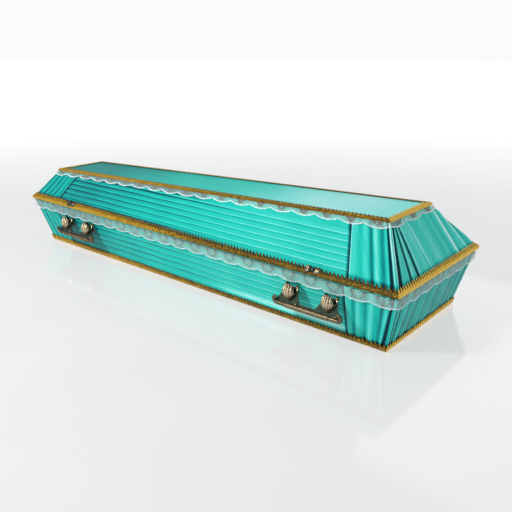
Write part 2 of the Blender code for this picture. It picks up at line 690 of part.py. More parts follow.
def main():
    for old in list(bpy.data.objects):
        bpy.data.objects.remove(old)
    wood = material("pine", (0.62, 0.42, 0.24), 0.7)
    satin = material("satin", (0.01, 0.55, 0.47), 0.35)
    gold = material("gold braid", (0.48, 0.28, 0.04), 0.6)
    white = material("lace", (0.75, 0.80, 0.82), 0.8)
    bronze = material("antiqued bronze", (0.32, 0.23, 0.14), 0.4, 0.9)
    box_boards(wood)
    lid_boards(wood)
    for side in ("right", "left"):
        box_side_cloth(side, satin)
        lid_side_cloth(side, satin)
    end_cloths(satin)
    top_cloth(satin)
    braids(gold)
    lace("lace_box", BOX, level(BOX_HEIGHT - BOX_LACE_TOP), BOX_LACE_DROP, white)
    lace("lace_lid", LID, lid_top(GAP + CLOTH_THIN), LID_LACE_DROP, white)
    handles(bronze)
    lid_castings(bronze)


main()
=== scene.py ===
import math

import bpy
import numpy as np
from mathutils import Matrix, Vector


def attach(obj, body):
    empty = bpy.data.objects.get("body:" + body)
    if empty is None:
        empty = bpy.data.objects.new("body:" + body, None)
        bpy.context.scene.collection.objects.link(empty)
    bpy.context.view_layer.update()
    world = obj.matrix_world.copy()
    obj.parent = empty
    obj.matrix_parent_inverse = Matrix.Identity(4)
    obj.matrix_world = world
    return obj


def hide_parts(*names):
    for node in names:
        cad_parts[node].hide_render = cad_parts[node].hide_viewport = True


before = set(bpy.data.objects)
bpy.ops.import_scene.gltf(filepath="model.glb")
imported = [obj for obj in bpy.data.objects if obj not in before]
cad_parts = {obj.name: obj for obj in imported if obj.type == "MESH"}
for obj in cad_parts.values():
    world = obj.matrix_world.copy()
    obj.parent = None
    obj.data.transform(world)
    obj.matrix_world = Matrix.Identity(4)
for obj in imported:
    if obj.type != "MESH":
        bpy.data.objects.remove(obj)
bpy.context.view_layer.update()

# The boarded shape that all the cloth and trim lies on, in metres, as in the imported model.
coffin = {
    "boxLength": 1.9776, "headWidth": 0.6176, "footWidth": 0.4689, "joint": 0.2073,
    "boxSideLean": 0.2588, "boxHeadLean": 0.2595, "boxFootLean": 0.2822,
    "overhang": 0.0030, "lidEdge": 0.0106, "riseHead": 0.1872, "riseFoot": 0.1336,
    "lidSideLean": 0.9408, "lidHeadLean": 0.7330, "lidFootLean": 0.5770,
    "gap": 0.0003, "clothThin": 0.0015, "clothFull": 0.0050,
}
lidLow = coffin["joint"] + coffin["gap"]
lidWide = coffin["joint"] + coffin["lidEdge"]
trimFace = coffin["clothFull"] + 2 * coffin["gap"]
wallNames = ("right", "head", "left", "foot")
up = np.array((0.0, 0.0, 1.0))


# Planes are a normal and a distance; points come from three of them.

def level(height):
    return up, height


def shifted(plane, distance):
    return plane[0], plane[1] + distance * np.linalg.norm(plane[0])


def between(first, second, share):
    return (first[0] * (1 - share) + second[0] * share, first[1] * (1 - share) + second[1] * share)


def meet(a, b, c):
    return np.linalg.solve(np.array((a[0], b[0], c[0])), np.array((a[1], b[1], c[1])))


def leaningWalls(overhang, height, leans):
    half, head, foot = coffin["boxLength"] / 2, coffin["headWidth"] / 2, coffin["footWidth"] / 2
    taper = math.atan2(head - foot, coffin["boxLength"])
    outward = {"right": (-math.sin(taper), -math.cos(taper), 0), "head": (1, 0, 0),
               "left": (-math.sin(taper), math.cos(taper), 0), "foot": (-1, 0, 0)}
    through = {"right": (half, -head, 0), "head": (half, 0, 0),
               "left": (half, head, 0), "foot": (-half, 0, 0)}
    walls = {}
    for wall in wallNames:
        out = np.array(outward[wall], float)
        normal = out - leans[wall] * up
        normal /= np.linalg.norm(normal)
        point = np.array(through[wall], float) + overhang * out + height * up
        walls[wall] = (normal, normal @ point)
    return walls


boxWalls = leaningWalls(0.0, coffin["joint"], {
    "right": coffin["boxSideLean"], "left": coffin["boxSideLean"],
    "head": coffin["boxHeadLean"], "foot": coffin["boxFootLean"]})
lidWalls = leaningWalls(coffin["overhang"], lidWide, {
    "right": -coffin["lidSideLean"], "left": -coffin["lidSideLean"],
    "head": -coffin["lidHeadLean"], "foot": -coffin["lidFootLean"]})
plumbWalls = leaningWalls(coffin["overhang"], lidWide, dict.fromkeys(wallNames, 0.0))


def lidTop(distance=0.0):
    slope = (coffin["riseHead"] - coffin["riseFoot"]) / (coffin["boxLength"] + 2 * coffin["overhang"])
    normal = np.array((-slope, 0, 1.0)) / math.hypot(slope, 1)
    middle = coffin["joint"] + (coffin["riseHead"] + coffin["riseFoot"]) / 2
    return normal, normal @ (middle * up) + distance


def neighbours(wall):
    i = wallNames.index(wall)
    return wallNames[i - 1], wallNames[(i + 1) % 4]


def blend(first, second):
    both = first + second
    return both / np.linalg.norm(both)


# Small helpers for shapes.

def smooth(x, low, high):
    t = np.clip((np.asarray(x, float) - low) / (high - low), 0, 1)
    return t * t * (3 - 2 * t)


def hump(x, middle, width):
    return np.exp(-((x - middle) / width) ** 2)


def wander(x, seed, wave):
    # a smooth, seeded wave between about -1 and 1, of five sines
    draw = np.random.RandomState(seed)
    total = np.zeros_like(np.asarray(x, float))
    for _ in range(5):
        length, phase = wave * draw.uniform(0.5, 1.8), draw.uniform(0, 2 * math.pi)
        total = total + np.sin(2 * math.pi * x / length + phase)
    return total * 0.3


def gridFaces(rows, columns, first=0, closed=False):
    r, c = np.meshgrid(np.arange(rows - 1), np.arange(columns if closed else columns - 1), indexing="ij")
    here, after = r * columns + c, r * columns + (c + 1) % columns
    return (first + np.stack((here, after, after + columns, here + columns), -1).reshape(-1, 4)).tolist()


def addPiece(name, points, faces, finish, nodes=(), marks=None, sharp=None):
    mesh = bpy.data.meshes.new(name)
    mesh.from_pydata(np.asarray(points, float).reshape(-1, 3).tolist(), [], faces)
    for mark, values in (marks or {}).items():
        values = np.asarray(values, np.float32)
        kind = "FLOAT_VECTOR" if values.size == 3 * len(mesh.vertices) else "FLOAT"
        mesh.attributes.new(mark, kind, "POINT").data.foreach_set(
            "vector" if kind == "FLOAT_VECTOR" else "value", values.ravel())
    mesh.materials.append(finish)
    mesh.shade_smooth()
    if sharp is not None:
        mesh.set_sharp_from_angle(angle=math.radians(sharp))
    mesh.update()
    piece = bpy.data.objects.new(name, mesh)
    bpy.context.scene.collection.objects.link(piece)
    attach(piece, "root")
    if nodes:
        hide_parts(*nodes)
    return piece


# Colours and nodes.

def linear(colour):
    values = [int(colour[i:i + 2], 16) / 255 for i in (1, 3, 5)]
    return [v / 12.92 if v <= 0.04045 else ((v + 0.055) / 1.055) ** 2.4 for v in values] + [1.0]


def addNode(tree, kind, output, settings=None, links=None):
    # gives back the output that the next node takes
    node = tree.nodes.new("ShaderNode" + kind)
    for key, value in (settings or {}).items():
        if key == "stops":
            while len(node.color_ramp.elements) < len(value):
                node.color_ramp.elements.new(0.5)
            for element, (place, colour) in zip(node.color_ramp.elements, value):
                element.position, element.color = place, linear(colour)
        elif isinstance(key, str) and hasattr(node, key):
            setattr(node, key, value)
        else:
            node.inputs[key].default_value = value
    for key, source in (links or {}).items():
        tree.links.new(source, node.inputs[key])
    return node.outputs[output]


def newMaterial(name, settings):
    made = bpy.data.materials.new(name)
    made.use_nodes = True
    for key, value in settings.items():
        made.node_tree.nodes["Principled BSDF"].inputs[key].default_value = value
    return made, made.node_tree


def finished(made, links):
    for key, source in links.items():
        made.node_tree.links.new(source, made.node_tree.nodes["Principled BSDF"].inputs[key])
    return made


def stirred(tree, base, pattern, amount):
    # the base value, moved up and down by a pattern that runs from 0 to 1
    centred = addNode(tree, "Math", "Value", {"operation": "SUBTRACT", 1: 0.5}, {0: pattern})
    return addNode(tree, "Math", "Value", {"operation": "MULTIPLY_ADD", 1: amount}, {0: centred, 2: base})


def satinMaterial(name, streaks, gloss):
    # Polyester satin, woven with long floats: a soft gloss, with painted highlights bright on the crests and
    # painted shade inky in the folds.
    made, tree = newMaterial(name, {
        "IOR": 1.54, "Specular IOR Level": gloss, "Specular Tint": linear("#9af0e8"),
        "Sheen Weight": 0.05, "Sheen Roughness": 0.35, "Sheen Tint": linear("#7de8e0")})
    fold = addNode(tree, "Attribute", "Fac", {"attribute_name": "fold"})
    lay = addNode(tree, "Attribute", "Vector", {"attribute_name": "lay"})
    # fine creases run along the folds, 4 mm apart and about 80 mm long
    along = addNode(tree, "VectorMath", "Vector", {"operation": "MULTIPLY", 1: (250.0, 12.0, 1.0)}, {0: lay})
    creases = addNode(tree, "TexNoise", "Fac", {"Scale": 1.0, "Detail": 3.0, "Roughness": 0.55},
                      {"Vector": along})
    # painted light: the ramp runs from painted shade, navy, through the satin's teal to painted highlight, pale
    # aqua, and the creases stir it
    colour = addNode(tree, "ValToRGB", "Color", {"stops": [
        (0.0, "#03202b"), (0.16, "#0a4f5e"), (0.34, "#0f8f8b"), (0.5, "#16b9aa"), (0.66, "#40cebf"),
        (0.82, "#80e2da"), (1.0, "#c4f3ef")]}, {"Fac": stirred(tree, fold, creases, streaks)})
    rough = addNode(tree, "MapRange", "Result", {"To Min": 0.28, "To Max": 0.44}, {"Value": creases})
    # threads are 0.1 mm apart, too fine to show, so the weave is drawn at 0.9 mm
    weave = addNode(tree, "TexWave", "Fac", {
        "wave_type": "BANDS", "bands_direction": "DIAGONAL", "Scale": 350.0, "Distortion": 1.5,
        "Detail": 1.0}, {"Vector": lay})
    fine = addNode(tree, "Bump", "Normal", {"Strength": 0.06, "Distance": 0.0002}, {"Height": weave})
    bump = addNode(tree, "Bump", "Normal", {"Strength": 0.25, "Distance": 0.0006},
                   {"Height": creases, "Normal": fine})
    return finished(made, {"Base Color": colour, "Roughness": rough, "Normal": bump})


def braidMaterial():
    # Woven braid of gold-coloured metallic yarn over brown cotton: painted glints on the ribs, and painted
    # shade, brown, between them.
    made, tree = newMaterial("goldLurexBraid", {"IOR": 1.5, "Specular Tint": linear("#f0cf7a")})
    fold = addNode(tree, "Attribute", "Fac", {"attribute_name": "fold"})
    place = addNode(tree, "TexCoord", "Object")
    # yarn is 0.6 mm thick, drawn at 3 mm so that it shows
    yarn = addNode(tree, "TexNoise", "Fac", {"Scale": 300.0, "Detail": 3.0, "Roughness": 0.65},
                   {"Vector": place})
    patches = addNode(tree, "TexNoise", "Fac", {"Scale": 45.0, "Detail": 2.0}, {"Vector": place})
    yarnAndLight = stirred(tree, fold, yarn, 1.6)
    # the ramp runs from painted shade, near black, to painted glints, pale gold
    colour = addNode(tree, "ValToRGB", "Color", {"stops": [
        (0.0, "#160c02"), (0.22, "#4c350d"), (0.45, "#a67f1c"), (0.7, "#dcb03a"), (1.0, "#f6d878")]},
        {"Fac": stirred(tree, yarnAndLight, patches, 0.35)})
    metal = addNode(tree, "MapRange", "Result", {
        "From Min": 0.3, "From Max": 0.9, "To Min": 0.1, "To Max": 0.6}, {"Value": yarnAndLight})
    rough = addNode(tree, "MapRange", "Result", {"To Min": 0.55, "To Max": 0.32}, {"Value": yarn})
    bump = addNode(tree, "Bump", "Normal", {"Strength": 0.5, "Distance": 0.0006}, {"Height": yarn})
    return finished(made, {"Base Color": colour, "Metallic": metal, "Roughness": rough, "Normal": bump})


def laceMaterial():
    # Machine lace of white polyester: an open net, denser in the scallops, with a taupe outline thread.
    made, tree = newMaterial("whiteNetLace", {"Roughness": 0.6, "IOR": 1.5, "Sheen Weight": 0.3})
    lay = addNode(tree, "Attribute", "Vector", {"attribute_name": "lay"})
    garland = addNode(tree, "Attribute", "Fac", {"attribute_name": "garland"})
    filled = addNode(tree, "Attribute", "Fac", {"attribute_name": "filled"})
    # net holes are 2 mm across, drawn at 3 mm
    cells = addNode(tree, "TexVoronoi", "Distance", {
        "feature": "DISTANCE_TO_EDGE", "Scale": 330.0, "Randomness": 0.35}, {"Vector": lay})
    threads = addNode(tree, "MapRange", "Result", {
        "From Min": 0.06, "From Max": 0.16, "To Min": 1.0, "To Max": 0.0}, {"Value": cells})
    stitches = addNode(tree, "TexNoise", "Fac", {"Scale": 260.0, "Detail": 3.0, "Roughness": 0.7},
                       {"Vector": lay})
    ragged = addNode(tree, "Math", "Value", {"operation": "MULTIPLY_ADD", 1: 3.0, 2: -1.6}, {0: stitches})
    outline = addNode(tree, "Math", "Value", {"operation": "ADD"}, {0: garland, 1: ragged})
    worked = addNode(tree, "MapRange", "Result", {"From Min": 0.34, "From Max": 0.66}, {"Value": outline})
    thread = addNode(tree, "Mix", 2, {
        "data_type": "RGBA", 6: linear("#d6e6e6"), 7: linear("#93a9a5")}, {0: filled})
    colour = addNode(tree, "Mix", 2, {"data_type": "RGBA", 7: linear("#55594c")}, {0: worked, 6: thread})
    net = addNode(tree, "MapRange", "Result", {"To Min": 0.04, "To Max": 0.58}, {"Value": threads})
    dense = addNode(tree, "Math", "Value", {"operation": "MULTIPLY_ADD", 1: 0.34}, {0: filled, 2: net})
    cover = addNode(tree, "Math", "Value", {"operation": "MAXIMUM"}, {0: dense, 1: worked})
    kept = addNode(tree, "Math", "Value", {"operation": "MINIMUM", 1: 1.0}, {0: cover})
    bump = addNode(tree, "Bump", "Normal", {"Strength": 0.4, "Distance": 0.0004}, {"Height": stitches})
    return finished(made, {"Base Color": colour, "Alpha": kept, "Normal": bump})


def threadMaterial(name, pale, deep):
    # Thick twisted polyester thread: matt, with a painted shadow between its turns.
    made, tree = newMaterial(name, {"Roughness": 0.62, "IOR": 1.5, "Sheen Weight": 0.35})
    place = addNode(tree, "TexCoord", "Object")
    # turns of the thread are 1 mm apart, drawn at 4 mm
    twist = addNode(tree, "TexNoise", "Fac", {"Scale": 260.0, "Detail": 3.0, "Roughness": 0.7},
                    {"Vector": place})
    colour = addNode(tree, "ValToRGB", "Color", {"stops": [(0.3, deep), (0.62, pale)]}, {"Fac": twist})
    bump = addNode(tree, "Bump", "Normal", {"Strength": 0.5, "Distance": 0.0004}, {"Height": twist})
    return finished(made, {"Base Color": colour, "Normal": bump})


def bronzeMaterial():
    # Die-cast zinc alloy plated in old bronze: nearly black in the hollows, from patina and painted shade, and
    # pale on the high places, rubbed and with painted highlights.
    made, tree = newMaterial("antiquedBronzeCasting", {"Metallic": 0.85})
    fold = addNode(tree, "Attribute", "Fac", {"attribute_name": "fold"})
    place = addNode(tree, "TexCoord", "Object")
    # stains left by the patina are about 6 mm across
    mottle = addNode(tree, "TexNoise", "Fac", {"Scale": 160.0, "Detail": 4.0, "Roughness": 0.6},
                     {"Vector": place})
    light = stirred(tree, fold, mottle, 0.30)
    # the dark green stop is a painted reflection of the teal satin
    colour = addNode(tree, "ValToRGB", "Color", {"stops": [
        (0.0, "#080b0a"), (0.22, "#2f433c"), (0.42, "#5f5340"), (0.64, "#9a8666"), (0.84, "#cfbf9f"),
        (1.0, "#f3ead6")]}, {"Fac": light})
    rough = addNode(tree, "MapRange", "Result", {"To Min": 0.52, "To Max": 0.26}, {"Value": light})
    bump = addNode(tree, "Bump", "Normal", {"Strength": 0.35, "Distance": 0.0005}, {"Height": mottle})
    return finished(made, {"Base Color": colour, "Roughness": rough, "Normal": bump})


def pineMaterial():
    # Planed pine boards: straight yellow grain along the board, a knot here and there, no finish.
    made, tree = newMaterial("planedPine", {"Roughness": 0.68, "IOR": 1.5})
    place = addNode(tree, "TexCoord", "Object")
    # growth rings are 3 mm wide, drawn at 16 mm, and run along the coffin
    along = addNode(tree, "VectorMath", "Vector", {"operation": "MULTIPLY", 1: (4.0, 60.0, 60.0)}, {0: place})
    rings = addNode(tree, "TexNoise", "Fac", {"Scale": 1.0, "Detail": 4.0, "Distortion": 0.8},
                    {"Vector": along})
    knots = addNode(tree, "TexVoronoi", "Distance", {"Scale": 5.0}, {"Vector": place})
    dark = addNode(tree, "MapRange", "Result", {
        "From Min": 0.0, "From Max": 0.1, "To Min": 0.35, "To Max": 0.0}, {"Value": knots})
    both = addNode(tree, "Math", "Value", {"operation": "SUBTRACT"}, {0: rings, 1: dark})
    colour = addNode(tree, "ValToRGB", "Color", {"stops": [
        (0.2, "#8f5f34"), (0.45, "#c99a62"), (0.7, "#e3c08c")]}, {"Fac": both})
    bump = addNode(tree, "Bump", "Normal", {"Strength": 0.2, "Distance": 0.0005}, {"Height": rings})
    return finished(made, {"Base Color": colour, "Normal": bump})


satin = satinMaterial("polyesterSatinPleated", 0.20, 0.18)
gatheredSatin = satinMaterial("polyesterSatinGathered", 0.22, 0.10)
topSatin = satinMaterial("polyesterSatinStretched", 0.20, 0.02)
goldBraid = braidMaterial()
whiteLace = laceMaterial()
whiteThread = threadMaterial("whitePicotThread", "#f8fbfc", "#8fb4b6")
taupeThread = threadMaterial("taupeGarlandThread", "#857e6a", "#3c3a30")
oldBronze = bronzeMaterial()
planedPine = pineMaterial()
for nodeName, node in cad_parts.items():
    if "board" in nodeName or nodeName == "box_floor":
        for holder in node.material_slots:
            holder.material = planedPine
print("materials made")


# Seams where the end cloths stop on the long sides.

cuffs = {
    "boxHead": (0.185, 0.134), "boxFoot": (0.155, 0.180),  # at the joint, at the base
    "lidHead": (0.170, 0.136), "lidFoot": (0.190, 0.156),  # at the rim, at the top
}


def seamPlane(walls, side, end, lowRow, lowRun, highRow, highRun):
    low, high = meet(lowRow, walls[side], walls[end]), meet(highRow, walls[side], walls[end])
    along = np.cross(walls[side][0], up)
    along /= np.linalg.norm(along)
    if along @ walls[end][0] > 0:
        along = -along
    low, high = low + along * lowRun, high + along * highRun
    across = np.cross(high - low, walls[side][0])
    across /= np.linalg.norm(across)
    if across @ along < 0:
        across = -across
    return across, across @ low


def boxSeam(side, end):
    rim, base = cuffs["boxHead" if end == "head" else "boxFoot"]
    return seamPlane(boxWalls, side, end, level(0.0), base, level(coffin["joint"]), rim)


def lidSeam(side, end):
    rim, top = cuffs["lidHead" if end == "head" else "lidFoot"]
    return seamPlane(lidWalls, side, end, level(lidWide), rim, lidTop(), top)


# Knife-pleated satin on the long sides.

pleats = {
    "columnStep": 0.0065,
    "boxStart": 0.0375, "boxPitch": 0.0270, "boxCount": 7,
    "lidStart": 0.0270, "lidPitch": 0.0177, "lidCount": 6,
    "crest": 0.0058, "underLip": 0.0012, "panel": 1.6, "overBraid": {"lid": 0.0165, "box": 0.0270},
    # the plain cloth between the braid and the first lip: share of its height, of its lift, and painted shade
    "plain": [(0.26, 0.76, -0.06), (0.42, 0.60, 0.02), (0.60, 0.42, 0.0), (0.85, 0.24, -0.08),
              (1.0, 0.12, -0.3)],
    # one pleat from its lip up to the next: share of the pitch, share of the height, and how much lighter, as
    # painted highlight, or darker, as painted shade, it is than the middle value, towards the foot and towards
    # the head
    "profile": [(-0.02, 0.60, -0.22, -0.04), (0.00, 0.88, 0.06, 0.18), (0.05, 1.00, 0.10, 0.26),
                (0.11, 0.99, 0.07, 0.17), (0.20, 0.92, 0.03, 0.05), (0.34, 0.78, 0.01, 0.0),
                (0.50, 0.62, -0.03, 0.0), (0.66, 0.46, -0.08, 0.0), (0.78, 0.34, -0.14, -0.01),
                (0.87, 0.22, -0.23, -0.04), (0.94, 0.12, -0.36, -0.10), (1.00, 0.02, -0.44, -0.16)],
}


def paintedSideShade(x):
    # painted shade: the satin is drawn deeper at the foot, where less light reaches it
    return 0.33 + 0.15 * smooth(x, -0.75, -0.05) + 0.06 * smooth(x, -0.05, 0.6)


def pleatedSide(name, side, isLid, seed):
    walls = lidWalls if isLid else boxWalls
    seamOf = lidSeam if isLid else boxSeam
    # seams in the order that the wall runs in, so that faces look outward
    seams = [seamOf(side, end) for end in neighbours(side)]
    start = (lidWide + pleats["lidStart"]) if isLid else pleats["boxStart"]
    pitch = pleats["lidPitch"] if isLid else pleats["boxPitch"]
    count = pleats["lidCount"] if isLid else pleats["boxCount"]
    columns = int(1.62 / pleats["columnStep"])
    share = np.linspace(0, 1, columns)
    half = pleats["panel"] / 2
    x = np.linspace(-half, half, columns) * (1 if side == "right" else -1)
    headward = smooth(x, -0.25, 0.35)
    middle = paintedSideShade(x) + 0.015 * wander(x, seed, 0.3)
    bases, directions, heights, shades, slides = [], [], [], [], []

    def addRow(plane, wallSet, height, shade, direction=None, slide=0.0):
        ends = [meet(plane, wallSet[side], seam) for seam in seams]
        bases.append(ends[0] * (1 - share[:, None]) + ends[1] * share[:, None])
        directions.append(wallSet[side][0] if direction is None else direction)
        for rows, value in ((heights, height), (shades, shade), (slides, slide)):
            rows.append(np.broadcast_to(value, columns))

    flat = coffin["clothFull"] - coffin["gap"]
    # the rows hidden under the braid take fixed values of painted light, darkest at the lid's lower edge as
    # painted shade
    if isLid:
        addRow(level(lidLow), plumbWalls, flat, 0.35)
        addRow(level(lidWide - 0.0005), plumbWalls, flat, 0.55)
        addRow(level(lidWide + 0.0010), walls, flat, 0.6, blend(walls[side][0], plumbWalls[side][0]))
        braidTop = lidWide + pleats["overBraid"]["lid"]
    else:
        addRow(level(0.0012), walls, flat, 0.4)
        braidTop = pleats["overBraid"]["box"]
    # painted shade: the gaps between the braid's teeth are drawn nearly black at the foot and clear at the head
    gapShade = -0.36 + 0.34 * headward
    addRow(level(braidTop - 0.009), walls, flat, middle + gapShade - 0.05)
    addRow(level(braidTop + 0.001), walls, flat * 0.88, middle + gapShade)
    for t, lift, tone in pleats["plain"]:
        # painted reflection: a pale band on the box side above the braid, towards the head
        pale = 0.0 if isLid else 0.28 * smooth(x, 0.1, 0.4) * smooth(t, 0.1, 0.4)
        addRow(level(braidTop + (start - braidTop) * t), walls, flat * lift,
               middle + tone * (1 - 0.5 * headward) + pale)
    for k in range(count):
        lip = start + k * pitch
        rise = wander(x, seed + 7 * k, 0.55) * 0.0010
        last = k == count - 1
        full = pleats["crest"] * (0.82 + 0.18 * wander(x, seed + 50 + k, 0.40)) * (1 - 0.55 * headward)
        # the painted shade lines of the lid grow stronger upward
        deep = (1 + 0.30 * wander(x, seed + 90 + k, 0.5)) * (0.5 + 0.5 * k / (count - 1) if isLid else 0.8)
        if isLid and last:
            # the uppermost pleat is the deepest, and its painted shade is nearly black beside the foot
            full = full * 1.15
            deep = deep * 1.1
        for q, tall, footShading, headShading in pleats["profile"]:
            if last and q > (0.3 if isLid else 0.5):
                continue
            height = pleats["underLip"] + (full - pleats["underLip"]) * tall
            # on the box only a crisp line of painted shade shows under each lip
            crisp = 1 if isLid or q < 0.4 else 0.3 if q < 0.8 else 1.5
            tone = footShading * crisp * (1 - headward) + headShading * headward
            tone = tone * (deep if footShading < 0 else 1)
            # near the head a second, fainter crease runs along each pleat, with a painted highlight on it and
            # painted shade beside it
            second = hump(q, 0.46, 0.07) * headward
            height = height + 0.0006 * second
            tone = tone + 0.10 * second - 0.06 * hump(q, 0.60, 0.05) * headward
            # painted reflection: a pale band near the base of the box side, towards the head
            if not isLid:
                tone = tone + 0.27 * hump(lip + q * pitch, 0.042, 0.014) * smooth(x, 0.1, 0.4)
            addRow(level(lip + q * pitch), walls, height, middle + tone, slide=rise)
        if isLid and k == count - 2:
            # painted shadow: the shade of the uppermost pleat falls on the top of this one
            for row in range(-3, 0):
                shades[row] = shades[row] - 0.24 * (1 - headward) - 0.30 * hump(x, -0.10, 0.30)
    if isLid:
        lip = level(start + (count - 1) * pitch + 0.36 * pitch)
        under = smooth(-x, -0.25, 0.1)
        for t in np.linspace(0.08, 1.0, 14):
            height = 0.0046 + 0.0014 * math.sin(math.pi * min(1, 1.1 * t)) - 0.0030 * smooth(t, 0.75, 1.0)
            # painted shade: the band under the lace is drawn in deep shade down to its crease
            tone = -0.26 * under * smooth(t, 0.0, 0.4) - 0.42 * under * hump(t, 0.0, 0.14)
            tone = tone + 0.03 * wander(x, seed + 400, 0.3)
            addRow(between(lip, lidTop(-0.0004), t), walls, height, middle + tone)
    else:
        # painted shade under the lace, at the top of the box side
        addRow(level(coffin["joint"] - 0.008), walls, 0.0040, middle - 0.05)
        addRow(level(coffin["joint"] - 0.001), walls, 0.0035, middle - 0.12)
    base, height = np.array(bases), np.array(heights)
    shade, normal = np.array(shades), np.array(directions)[:, None, :]
    # the cloth dips where it goes in under the cuffs, and is drawn dark there as painted shade
    run = share * pleats["panel"]
    fromSeam = np.minimum(run, pleats["panel"] - run)
    dip = 1 - smooth(fromSeam, 0.001, 0.007)
    height = height * (1 - 0.75 * dip) + 0.0010 * dip
    dark = 1 - smooth(fromSeam, 0.003, np.where(x < 0, 0.022, 0.012))
    shade = shade * (1 - dark) + 0.02 * dark
    slope = np.cross(normal, np.array((1.0, 0, 0)))
    slope = np.where(slope[..., 2:] < 0, -slope, slope)
    points = base + normal * height[..., None] + slope * np.array(slides)[..., None]
    lay = np.stack((base[..., 2] * 1.4, base[..., 0], np.zeros_like(height)), -1)
    node = f"{'lid' if isLid else 'box'}_cloth_{side}"
    return addPiece(name, points, gridFaces(*height.shape), satin, [node],
                    {"fold": np.clip(shade, 0, 1), "lay": lay})


for side, seed in (("right", 11), ("left", 211)):
    for part, isLid in (("lid", True), ("box", False)):
        cloth = pleatedSide(f"satin_{part}_{side}", side, isLid, seed + (100 if isLid else 0))
print("pleated sides made")


# Gathered satin over the ends, carried round both corners as cuffs.

gathers = {
    "columnStep": 0.0024, "rows": 44, "rest": 0.0034, "least": 0.0016, "most": 0.0105,
    "underTrim": 0.0048,
    # painted light and shade of the end and of its cuffs, as each face is lit
    "paintedTones": {"lidHead": (0.66, 0.55), "boxHead": (0.39, 0.54),
              "lidFoot": (0.38, 0.38), "boxFoot": (0.38, 0.42)},
    # cloth size of each end before it is gathered
    "flat": {"lidHead": (0.25, 1.02), "lidFoot": (0.19, 0.90),
             "boxHead": (0.24, 1.02), "boxFoot": (0.24, 0.84)},
    # folds as distance from the first corner at the low and high edge, width in metres, height or
    # depth in metres, and how much painted light or painted shade they add. A negative distance is on the first
    # cuff.
    "lidHead": [
        (-0.014, -0.006, 0.0050, -0.0026, -0.62), (-0.003, -0.001, 0.0016, 0.0022, 0.42),
        (0.006, 0.003, 0.0016, 0.0026, 0.46), (0.024, 0.008, 0.0085, -0.0036, -0.98),
        (0.037, 0.013, 0.0030, 0.0034, 0.40), (0.098, 0.017, 0.0044, -0.0036, -0.90),
        (0.112, 0.024, 0.0040, 0.0030, 0.22), (0.152, 0.029, 0.0050, -0.0036, -0.95),
        (0.166, 0.036, 0.0050, 0.0026, 0.20), (0.215, 0.060, 0.012, 0.0014, 0.06),
        (0.250, 0.085, 0.0035, 0.0018, 0.24), (0.285, 0.110, 0.012, -0.0010, -0.05),
        (0.330, 0.150, 0.012, 0.0012, 0.05), (0.370, 0.205, 0.014, -0.0014, -0.08),
        (0.430, 0.245, 0.012, -0.0016, -0.14), (0.463, 0.285, 0.0070, 0.0040, 0.46),
        (0.490, 0.295, 0.010, -0.0014, -0.14), (0.545, 0.306, 0.0045, 0.0026, 0.30),
        (0.575, 0.314, 0.008, -0.0016, -0.20), (0.605, 0.318, 0.006, 0.0018, 0.05)],
    "lidHeadCuff": [(0.158, 0.120, 0.016, 0.0016, 0.10), (0.128, 0.098, 0.012, -0.0012, -0.06),
                    (0.104, 0.082, 0.012, 0.0018, 0.10), (0.083, 0.064, 0.007, -0.0024, -0.34),
                    (0.064, 0.048, 0.011, 0.0022, 0.20), (0.042, 0.026, 0.010, -0.0018, -0.26),
                    (0.024, 0.014, 0.007, 0.0016, 0.12)],
    "boxHead": [
        (-0.010, -0.008, 0.0055, -0.0026, -0.60), (0.003, 0.002, 0.0018, 0.0024, 0.42),
        (0.010, 0.012, 0.0032, -0.0030, -0.66), (0.015, 0.026, 0.0022, 0.0026, 0.34),
        (0.022, 0.052, 0.0036, -0.0030, -0.66), (0.036, 0.096, 0.0060, 0.0030, 0.28),
        (0.060, 0.125, 0.014, -0.0010, -0.06), (0.085, 0.155, 0.006, 0.0012, 0.10),
        (0.115, 0.190, 0.010, -0.0012, -0.10), (0.145, 0.205, 0.006, 0.0012, 0.08),
        (0.178, 0.240, 0.004, 0.0018, 0.26), (0.205, 0.265, 0.008, -0.0008, -0.07),
        (0.245, 0.305, 0.004, 0.0016, 0.22), (0.290, 0.350, 0.010, -0.0010, -0.08),
        (0.335, 0.400, 0.008, 0.0010, 0.04), (0.380, 0.455, 0.010, -0.0010, -0.08),
        (0.430, 0.510, 0.008, -0.0012, -0.10), (0.462, 0.545, 0.005, 0.0016, 0.22),
        (0.478, 0.578, 0.007, -0.0014, -0.20), (0.505, 0.600, 0.006, 0.0012, 0.10)],
    "boxHeadCuff": [(0.122, 0.170, 0.008, 0.0012, 0.12), (0.112, 0.152, 0.007, -0.0014, -0.20),
                    (0.096, 0.130, 0.010, 0.0016, 0.14), (0.074, 0.106, 0.008, -0.0014, -0.20),
                    (0.058, 0.080, 0.010, 0.0018, 0.14), (0.044, 0.060, 0.006, -0.0006, -0.08),
                    (0.030, 0.040, 0.008, -0.0016, -0.28), (0.018, 0.024, 0.007, 0.0020, 0.16)],
    "footCuff": [(0.172, 0.140, 0.0045, -0.0010, -0.20), (0.150, 0.122, 0.010, 0.0010, 0.06),
                 (0.132, 0.106, 0.0040, -0.0012, -0.24), (0.112, 0.090, 0.009, 0.0010, 0.05),
                 (0.093, 0.074, 0.0040, -0.0012, -0.22), (0.072, 0.057, 0.010, 0.0010, 0.06),
                 (0.052, 0.040, 0.0045, -0.0014, -0.26), (0.030, 0.022, 0.009, 0.0012, 0.06),
                 (0.010, 0.007, 0.0050, -0.0010, -0.18)],
}


